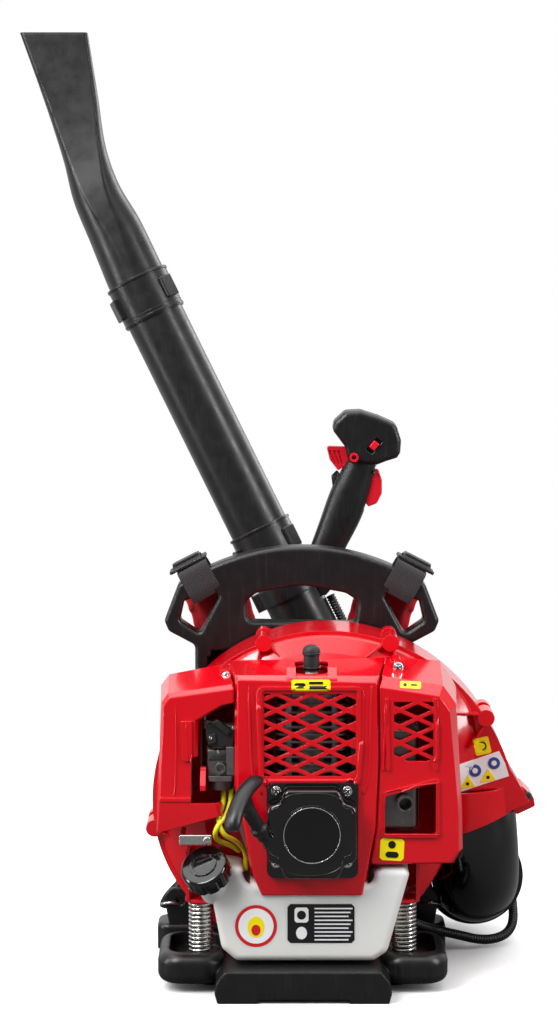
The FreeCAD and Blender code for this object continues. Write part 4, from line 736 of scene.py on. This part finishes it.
def nozzle_ring(t, thin):
    """The nozzle's outline at a row of NOZZLE, or between two rows, so many millimetres inside its wall."""
    lx, lz, rx, rz, y, depth, power, flat = catmull(NOZZLE, t)
    left, right = Vector((lx, y, lz)), Vector((rx, y, rz))
    middle = (left + right) / 2
    across = (right - left).normalized()
    half = (right - left).length / 2 - thin
    depth -= thin
    limit = depth * (1 - flat)
    ring = []
    for k in range(NOZZLE_POINTS):
        a = math.tau * k / NOZZLE_POINTS
        c, s = math.cos(a), math.sin(a)
        u = math.copysign(abs(c) ** (2 / power), c) * half
        w = math.copysign(abs(s) ** (2 / power), s) * depth
        ring.append(middle + across * u + Y * max(-limit, min(limit, w)))
    return ring


def make_nozzle():
    """A round foot in the upper socket, then a tube that flattens to the mouth, with a wall and a lip."""
    last = len(NOZZLE) - 1
    level = TUBE_AXIS.cross(Y).normalized()
    fore = TUBE_AXIS.cross(level)
    foot = [circle(TUBE_FOOT + TUBE_AXIS * distance, level, fore, 34.9, NOZZLE_POINTS)
            for distance in (UPPER_JOINT - SOCKET + 6, UPPER_JOINT - 8, UPPER_JOINT)]
    half = NOZZLE_POINTS // 2
    if (foot[0][0] - foot[0][half]).dot(X) < 0:
        foot = [ring[half:] + ring[:half] for ring in foot]
    rows = [1.0 + (last - 1.0) * i / NOZZLE_STEPS for i in range(NOZZLE_STEPS + 1)]
    outer = [nozzle_ring(row, 0.0) for row in rows]
    inner = [nozzle_ring(row, 2.2) for row in reversed(rows)]
    lip = [[p + Z * 0.7 for p in nozzle_ring(last, thin)] for thin in (0.6, 1.7)]
    bore = []
    for ring in reversed(foot):
        centre = sum(ring, Vector()) / len(ring)
        bore.append([centre + (p - centre) * 0.935 for p in ring])
    shape = Sculpt().skin(foot + outer + lip + inner + bore, closed=True)
    settle(shape.object("nozzle_shell"), "nozzle", "tube_plastic", ["nozzle"])


def bead(inside, radius, height, foot, slope):
    """A lathe profile: a band with rounded corners."""
    return [(inside, 0), (radius - 0.5, foot), (radius, slope), (radius, height - slope),
            (radius - 0.5, height - foot), (inside, height)]


def make_collar_rims():
    """Moulded beads round the sockets."""
    for name, body, top in (("lower_collar_rims", "tube", LOWER_JOINT),
                            ("upper_collar_rims", "straight_tube", UPPER_JOINT)):
        shape = Sculpt()
        for along, proud, height in ((top - SOCKET - 5, 3.4, 3.2), (top - SOCKET + 1, 2.9, 1.6),
                                     (top - 3.4, 3.9, 3.6)):
            profile = bead(TUBE_R + 1.5, TUBE_R + proud, height, 0.1, 0.6)
            shape.lathe(TUBE_FOOT + TUBE_AXIS * along, TUBE_AXIS, profile, 72, cap=False)
        settle(shape.object(name), body, "tube_plastic")


def make_bellows():
    """The corrugated hose, with a plain cuff at each end."""
    step, pitch, cuff = 1.1, 9.4, 36.4
    path = nurbs_path([ELBOW_EXIT, (200.1, 185, 77.3), (199.0, 222, 78.0), (174, 226, 92), (140, 225, 112),
                       TUBE_FOOT - TUBE_AXIS * 46, TUBE_FOOT - TUBE_AXIS * 22, TUBE_FOOT])
    path = respaced(path, step)
    total = step * (len(path) - 1)

    def radius(distance, _):
        end = min(distance, total - distance)
        wave = 0.5 + 0.5 * math.cos(math.tau * distance / pitch)
        ripple = 34.6 + 3.6 * wave ** 0.7
        share = max(0.0, min(1.0, (end - 15) / 3))
        return cuff * (1 - share) + ripple * share

    obj = sweep(Sculpt(), path, radius, 56).object("corrugated_hose")
    settle(obj, None, "rubber_black", ["bellows_hose"])
    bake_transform(obj)


def loom(name, points, node):
    """Split corrugated sleeve, with a slit seam along one side."""
    path = respaced(nurbs_path(points), 0.7)

    def radius(distance, angle):
        wave = math.cos(math.tau * distance / 3.5)
        slit = 0.5 if abs(angle - math.pi) < 0.25 else 0.0
        return 5.1 + 0.9 * max(-0.6, min(0.6, wave)) - slit

    obj = sweep(Sculpt(), path, radius, 20).object(name)
    settle(obj, None, "tube_plastic", [node])
    return obj


def make_conduits():
    lower = loom("throttle_loom_lower", CONDUIT_LOWER, "conduit_lower")
    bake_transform(lower)
    upper = loom("throttle_loom_upper", CONDUIT_UPPER, "conduit_upper")
    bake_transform(upper)


def make_starter_rope():
    """A three-strand rope from its guide to the pull grip."""
    start = ROPE_EXIT - ROPE_AXIS * 8
    path = [start + ROPE_AXIS * s * 0.5 for s in range(0, 93)]
    shape = sweep(Sculpt(), path, lambda s, a: 1.75 + 0.28 * math.cos(3 * (a - s * 0.55)), 18)
    obj = shape.object("twisted_rope")
    settle(obj, None, "webbing", ["starter_rope"], ["rubber_black"])
    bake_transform(obj)


def copied(node, name):
    obj = bpy.data.objects.new(name, NODES[node].data.copy())
    bpy.context.scene.collection.objects.link(obj)
    obj.data.materials.clear()
    return obj


def make_springs():
    """A copy of the CAD front springs, which stand in the tray's cups."""
    obj = copied("isolator_springs", "float_springs")
    settle(obj, None, "zinc_steel", ["isolator_springs"], recalc=False)
    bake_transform(obj)


# ------------------------------------------------------------------ padded pieces and webbing
PAD_VOXEL = 5.0
CLOTH_FRAMES = 20


def inflated(node, name, cap, quilt):
    """A copy of a plain CAD pad, remeshed and blown up by cloth pressure, then capped and quilted."""
    obj = copied(node, name)
    remesh = obj.modifiers.new("remesh", "REMESH")
    remesh.mode = "VOXEL"
    remesh.voxel_size = PAD_VOXEL * MM
    smooth = obj.modifiers.new("smooth", "SMOOTH")
    smooth.iterations = 6
    apply_modifiers(obj)
    start = [v.co.copy() for v in obj.data.vertices]
    cloth = obj.modifiers.new("cloth", "CLOTH")
    cloth.settings.use_pressure = True
    cloth.settings.uniform_pressure_force = 4.0
    cloth.settings.effector_weights.gravity = 0.0
    cloth.settings.quality = 5
    cloth.point_cache.frame_start, cloth.point_cache.frame_end = 1, CLOTH_FRAMES
    for number in range(1, CLOTH_FRAMES + 1):
        bpy.context.scene.frame_set(number)
    apply_modifiers(obj)
    bpy.context.scene.frame_set(1)
    for vertex, origin in zip(obj.data.vertices, start):
        shift = vertex.co - origin
        if shift.length > cap * MM:
            vertex.co = origin + shift.normalized() * cap * MM
    normals = [v.normal.copy() for v in obj.data.vertices]
    for vertex, normal in zip(obj.data.vertices, normals):
        vertex.co -= normal * quilt(vertex.co / MM, normal) * MM
    subdivide = obj.modifiers.new("subdivide", "SUBSURF")
    subdivide.levels = subdivide.render_levels = 1
    apply_modifiers(obj)
    shade(obj.data, 80)
    return obj


def apply_modifiers(obj):
    graph = bpy.context.evaluated_depsgraph_get()
    graph.update()
    mesh = bpy.data.meshes.new_from_object(obj.evaluated_get(graph))
    obj.modifiers.clear()
    obj.data = mesh


def groove(distance, width, depth):
    return depth * math.exp(-(distance / width) ** 2)


def make_cushion():
    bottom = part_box("back_cushion")[0].z / MM

    def quilt(p, normal):
        if normal.y < 0.3:
            return 0.0
        channels = sum(groove(p.z - (bottom + 42 * k), 3.0, 4.0) for k in (1, 2, 3, 4))
        return channels + groove(p.x, 3.0, 3.5)

    obj = inflated("back_cushion", "back_cushion_cover", 7.0, quilt)
    settle(obj, "frame", "cushion_fabric", ["back_cushion"], recalc=False)


def make_shoulder_pads():
    for side, sign in (("left", -1), ("right", 1)):
        def middle(z):
            return sign * (106 - (430 - z) * math.tan(math.radians(16)))

        def quilt(p, normal):
            off = abs(p.x - middle(p.z))
            return groove(off - 31, 2.2, 2.4) + groove(off, 2.2, 1.6) * (1 if normal.y > 0 else 0)

        obj = inflated("shoulder_pad_" + side, "shoulder_pad_cover_" + side, 5.0, quilt)
        settle(obj, "frame", "pad_fabric", ["shoulder_pad_" + side], recalc=False)


# Routes of one side's webbing: over the frame's ear from front to rear as (y, drop); the tail and the fold
# that lie on the ear as (y, z); and the lower run to the ring as (x, y, z).
EAR_FRONT, EAR_REAR = FRAME_FRONT - 1.5, FRAME_REAR + 1.6
OVER = [(EAR_FRONT + 5, 37), (EAR_FRONT - 0.2, 30), (EAR_FRONT - 0.2, 14), (EAR_FRONT, 3),
        (EAR_FRONT + 4, -1.5), (117, -2.6), (EAR_REAR - 4, -1.2), (EAR_REAR, 4), (EAR_REAR + 0.3, 16),
        (EAR_REAR + 2.5, 28), (EAR_REAR + 6, 37)]
TAIL = [(106, 3.4), (109, 6.0), (114, 6.8), (121, 6.4), (127, 6.6), (131, 5.6), (134, 1.5), (137, -7),
        (140, -17)]
FOLD = [(107, 8.2), (111, 9.2), (118, 9.0), (124, 8.8), (129, 7.8)]
LOWER_RUN = [(30, 164, 150), (42, 167, 132), (66, 164, 112), (98, 152, 92), (124, 133, 74), (142, 113, 60),
             (150, 101, 53), (152, 97, 47), (150, 103, 43), (143, 116, 50), (134, 128, 62)]
BAND_STEP = 2.0


def make_webbing():
    for side, sign in (("left", -1), ("right", 1)):
        turn = Matrix.Rotation(math.radians(EAR_SLOPE) * sign, 4, "Y")
        pivot = Vector((WEBBING_X * sign, 0, EAR_TOP + 18.5))
        over = nurbs_path([pivot + turn @ Vector((0, y, -drop)) for y, drop in OVER])
        shape = Sculpt()
        strap(shape, respaced(over, BAND_STEP), turn @ X, 37.0, 1.9)
        slider = Matrix.Rotation(math.radians(SLIDER_SLOPE) * sign, 4, "Y")
        base = Vector(((WEBBING_X + 4) * sign, 0, EAR_TOP + 20.4))
        for route, width in ((TAIL, 35.0), (FOLD, 33.0)):
            line = nurbs_path([base + slider @ Vector((0, y, z)) for y, z in route])
            strap(shape, respaced(line, BAND_STEP), slider @ X, width, 1.8)
        low = nurbs_path([Vector((x * sign, y, z)) for x, y, z in LOWER_RUN])
        low = respaced(low, BAND_STEP)

        def low_across(i):
            share = min(1.0, i / (len(low) * 0.6))
            return Vector((sign * (0.5 + 0.2 * share), 0.15, 0.75)).normalized()

        strap(shape, low, low_across, 25.0, 1.8)
        settle(shape.object("harness_web_" + side), "frame", "webbing", ["webbing_" + side])


# ------------------------------------------------------------------ fasteners and small details
def cross_screw(shape, centre, axis, radius, height):
    """A pan head with a dark cross that stands just proud of its top: painted shade in place of a cut recess.
    """
    shape.lathe(centre, axis, [(radius * 0.99, 0), (radius, height * 0.25), (radius * 0.93, height * 0.62),
                               (radius * 0.7, height * 0.9), (radius * 0.4, height), (0.05, height)], 28)
    side = axis.orthogonal().normalized()
    other = axis.cross(side)
    arm, blade = radius * 0.52, radius * 0.15
    outline = []
    for k in range(4):
        a = side if k % 2 == 0 else other
        a = a * (1 if k < 2 else -1)
        b = axis.cross(a)
        outline += [a * arm - b * blade, a * arm + b * blade, a * blade + b * blade]
    foot = centre + axis * (height * 0.6)
    # Painted shade: the dark cross stands for the shaded recess, which is not cut.
    shape.slab([foot + p for p in outline], axis * (height * 0.43), tag=1)


def make_screw_heads():
    shape = Sculpt()
    for x, z in ((-29, 150), (47, 150), (-29, 228), (47, 228)):
        cross_screw(shape, Vector((x, -119.2, z)), -Y, 5.6, 2.8)
    for x, y, z in ((-83, -57, 341), (103, -61, 352)):
        cross_screw(shape, Vector((x, y, z)), -Y, 5.6, 2.8)
    settle(shape.object("cross_recess_heads"), "power_unit", "chrome_steel",
           paints=["chrome_steel", "rubber_black"])


INKS = ["yellow_label", "dark_ink", "white_label", "blue_ink", "red_ink"]
YELLOW, DARK, WHITE, BLUE, SCARLET = range(5)


def sticker(name, surface, films):
    """One label piece from films of (outline, lift, ink, and maybe rings)."""
    shape = Sculpt()
    for film in films:
        label(shape, surface, *film)
    settle(shape.object(name), "power_unit", "badge_plastic", paints=INKS)


def make_labels():
    """Plain coloured labels made of blocks, discs and triangles, with no words or marks on them."""
    cover = Surface("engine_cover", "muffler_cover", "fan_housing_front")
    sticker("cover_label", cover, [
        (block(311, 685.5, 39, 11.5, 0, 1.5), 0.6, YELLOW, 12),
        (block(300, 685.5, 11, 5, 0, 1.5), 1.1, DARK, 4), (block(316, 683.0, 14, 2.2), 1.1, DARK, 4),
        (block(318, 688.0, 18, 2.2), 1.1, DARK, 4)])
    sticker("muffler_label", cover, [
        (block(410.5, 685, 21, 7, 3, 1.2), 0.35, YELLOW), (disc(405, 685, 1.8), 0.5, DARK, 2),
        (block(414, 685.2, 6, 1.8, 3), 0.5, DARK, 2)])
    sticker("square_label", cover, [
        (block(392, 849.5, 24, 22, 3, 2.5), 0.5, YELLOW), (disc(392, 844.5, 3.8), 1.0, DARK, 2),
        (block(392, 854.5, 13, 6, 3, 2), 1.0, DARK, 3)])
    housing = Surface("fan_housing_front")
    sticker("housing_label", housing, [
        (block(482, 746, 16, 17, -13, 1.5), 0.5, YELLOW), (disc(482, 746, 4.6), 1.0, DARK, 3),
        (disc(482, 746, 3.0), 1.4, YELLOW, 3)])
    outline = [(459, 764.5), (499, 751), (505, 763), (509, 776), (484, 784), (460, 792)]
    films = [(outline, 0.5, WHITE, 14)]
    for u, v, r in ((475, 770.5, 6.2), (494, 763, 6.0)):
        films += [(disc(u, v, r), 1.1, BLUE, 4), (disc(u, v, r * 0.45), 1.5, WHITE, 2)]
    for u, v, r in ((467.5, 783, 8.0), (488, 776.5, 8.0)):
        films.append(([(u - r, v + r * 0.75), (u, v - r), (u + r, v + r * 0.4)], 1.1, YELLOW, 4))
        films.append((disc(u, v + 0.6, 1.7), 1.5, DARK, 2))
    sticker("housing_strip", housing, films)
    tank = Surface("fuel_tank")
    sticker("tank_round_label", tank, [
        (disc(256, 926, 21, 1.0, 40), 0.3, SCARLET), (disc(256, 926, 17.6, 1.0, 36), 0.45, WHITE),
        (disc(256, 927, 8.5, 1.25, 28), 0.6, YELLOW), (disc(256, 930, 4.6, 1.2, 20), 0.75, SCARLET, 3)])
    films = [(block(321, 923.5, 67, 39, 0, 3), 0.3, DARK), (block(301.5, 915, 14, 15, 0, 2), 0.45, WHITE, 3),
             (disc(301.5, 915, 4.5), 0.6, DARK, 2), (disc(301.5, 933, 5.5, 1.15), 0.45, WHITE, 3)]
    for k in range(9):
        films.append((block(333.5 - (k % 3), 908.5 + 3.9 * k, 38 - 2 * (k % 3), 1.4), 0.45, WHITE, 1))
    sticker("tank_dark_label", tank, films)


def make_cover_ribs():
    """Raised beads pressed into the red covers, where their panels turn."""
    cover = Surface("engine_cover")
    shape = Sculpt()
    window = [(258, 689), (259, 735), (262, 781), (270, 787), (345, 787), (358, 782), (362, 735), (363, 690)]
    rib(shape, cover, window, 5.0, 2.0, smooth=False)
    rib(shape, cover, [(249, 686), (252, 770), (262, 795)], 3.6, 1.5)
    rib(shape, cover, [(372, 684), (369, 770), (363, 795)], 3.6, 1.5)
    muffler = Surface("muffler_cover")
    rib(shape, muffler, [(386, 704), (385, 740), (383, 765), (385, 770)], 4.2, 1.8)
    rib(shape, muffler, [(437, 702), (437, 735), (437, 757), (433, 762)], 4.2, 1.8)
    rib(shape, muffler, [(384, 800), (416, 786), (438, 783), (439, 835), (384, 835), (384, 800)], 2.2, 1.0,
        smooth=False)
    cleaner = Surface("air_cleaner_cover")
    rib(shape, cleaner, [(176, 706), (176, 760), (175, 790), (173, 796)], 2.6, 1.2)
    rib(shape, cleaner, [(186, 722), (194, 722), (194, 760), (188, 762), (186, 722)], 2.0, 0.9, smooth=False)
    settle(shape.object("cover_beads"), "power_unit", "red_plastic")


def make_starter_trim():
    """The silver rim of the starter's badge, and the black bead round its lobed plate."""
    centre = Vector((9.0, -139.6, 184.0))
    rings = [circle(centre - Y * along, X, Z, radius, 96)
             for radius, along in ((29.4, 0.0), (29.6, 1.0), (30.4, 1.0), (30.6, 0.0))]
    shape = Sculpt().skin(rings, closed=True)
    settle(shape.object("badge_rim"), "power_unit", "chrome_steel")
    plate = Surface("starter_housing")
    shape = Sculpt()
    lobes = [(281, 800), (292, 795), (310, 793.5), (330, 795), (341, 800), (344, 808), (352, 812), (354, 832),
             (352, 853), (344, 858), (341, 867), (328, 874), (310, 876), (292, 874), (281, 867), (278, 858),
             (270, 853), (268, 832), (270, 812), (278, 808), (281, 800)]
    rib(shape, plate, lobes, 1.5, 0.8)
    settle(shape.object("starter_bead"), "power_unit", "gloss_black_plastic")


def make_carburettor_trim():
    """Cap plates, screws, bracket and jet that sit on the carburettor's front."""
    shape = Sculpt()
    black, zinc, cast = range(3)
    for outline, y, depth, tag, bevel in (
            ([(206, 727), (216, 718), (222, 722), (229, 727), (235, 734), (233, 745), (210, 746), (206, 738)],
             -92, 6, black, 0.6),
            ([(211, 722), (218, 719), (231, 731), (228, 735)], -98, 3.5, black, 0.6),
            ([(207, 736), (215, 733), (216, 742), (208, 745)], -98, 3.0, black, 0.6),
            ([(226, 747), (234, 747), (234, 775), (227, 775)], -98, 2.2, cast, 0.4),
            ([(209, 758), (233, 757), (233, 760), (209, 761)], -98, 1.2, black, 0.3),
            ([(208, 776), (232, 776), (232, 781), (209, 781)], -97, 3.0, cast, 0.6)):
        shape.slab([view_point(u, v, y) for u, v in outline], Vector((0, -depth, 0)), tag, bevel)
    for u, v, r, sides in ((210.5, 738.5, 2.0, 20), (233, 728, 2.4, 6), (218, 752, 2.2, 20)):
        profile = [(r, 0), (r, 3.0), (r * 0.7, 4.0), (0.05, 4.2)]
        shape.lathe(view_point(u, v, -101) + Y * 3, -Y, profile, sides, zinc)
    point, _ = Surface("carburettor").at(222, 777)
    jet = [(4.6, 0), (4.8, 3.4), (4.2, 4.0), (3.0, 4.0), (2.9, 2.2), (0.05, 2.2)]
    shape.lathe(point + Y * 2, -Y, jet, 28, cast)
    settle(shape.object("carburettor_fittings"), "power_unit", "cast_aluminium",
           paints=["rubber_black", "zinc_steel", "cast_aluminium"])


def make_outlet_collar():
    """The part of the outlet's collar that stands out behind the fan housing."""
    inside, outside, first, sweep_angle, steps = 49.8, 54.5, 44, 92, 32
    side = Y.cross(ELBOW_AXIS).normalized()
    rings = []
    for k in range(steps + 1):
        turn = math.radians(first + sweep_angle * k / steps)
        ring = []
        for radius, low in ((inside, False), (outside, False), (outside, True), (inside, True)):
            point = ELBOW_START + (side * math.cos(turn) + Y * math.sin(turn)) * radius
            slant = (point.z - (132 + 0.4 * (point.x - 120))) / 0.9966
            ring.append(point + ELBOW_AXIS * (slant if low else -42))
        rings.append(ring)
    settle(Sculpt().skin(rings).object("outlet_collar"), "power_unit", "red_plastic")


def make_elbow_seams():
    """Mould line and beads on the glossy elbow."""
    elbow = Surface("outlet_elbow")
    shape = Sculpt()
    rib(shape, elbow, [(497, 815), (501, 835), (502, 855), (500, 880), (493, 903)], 1.0, 0.45)
    rib(shape, elbow, [(441, 868), (447, 890), (461, 907), (478, 914)], 2.0, 0.8)
    settle(shape.object("elbow_seams"), "power_unit", "gloss_black_plastic")


def make_plug_trim():
    """The white insulator under the boot, and the boot's rounded beads."""
    foot = Vector((9.0, -69.0, 346.0))
    shape = Sculpt().lathe(foot, Z, [(6.6, 0), (6.8, 1.2), (6.8, 5.4), (6.2, 6.4), (5.0, 6.6)], 32)
    settle(shape.object("plug_insulator"), "power_unit", "zinc_steel", paints=["white_label"])
    shape = Sculpt()
    for along, radius, height in ((6.2, 10.6, 2.4), (22.0, 10.5, 1.8)):
        shape.lathe(foot + Z * along, Z, bead(8.6, radius, height, 0.2, 0.7), 40)
    settle(shape.object("boot_beads"), "power_unit", "rubber_black", paints=["badge_plastic"])


def make_details():
    make_screw_heads()
    make_outlet_collar()
    make_elbow_seams()
    make_plug_trim()
    make_labels()
    make_cover_ribs()
    make_starter_trim()
    make_carburettor_trim()


# ------------------------------------------------------------------ build
make_camera()
make_stage()
paint_nodes()
make_nozzle()
make_collar_rims()
make_bellows()
make_conduits()
make_starter_rope()
make_springs()
make_cushion()
make_shoulder_pads()
make_webbing()
make_details()
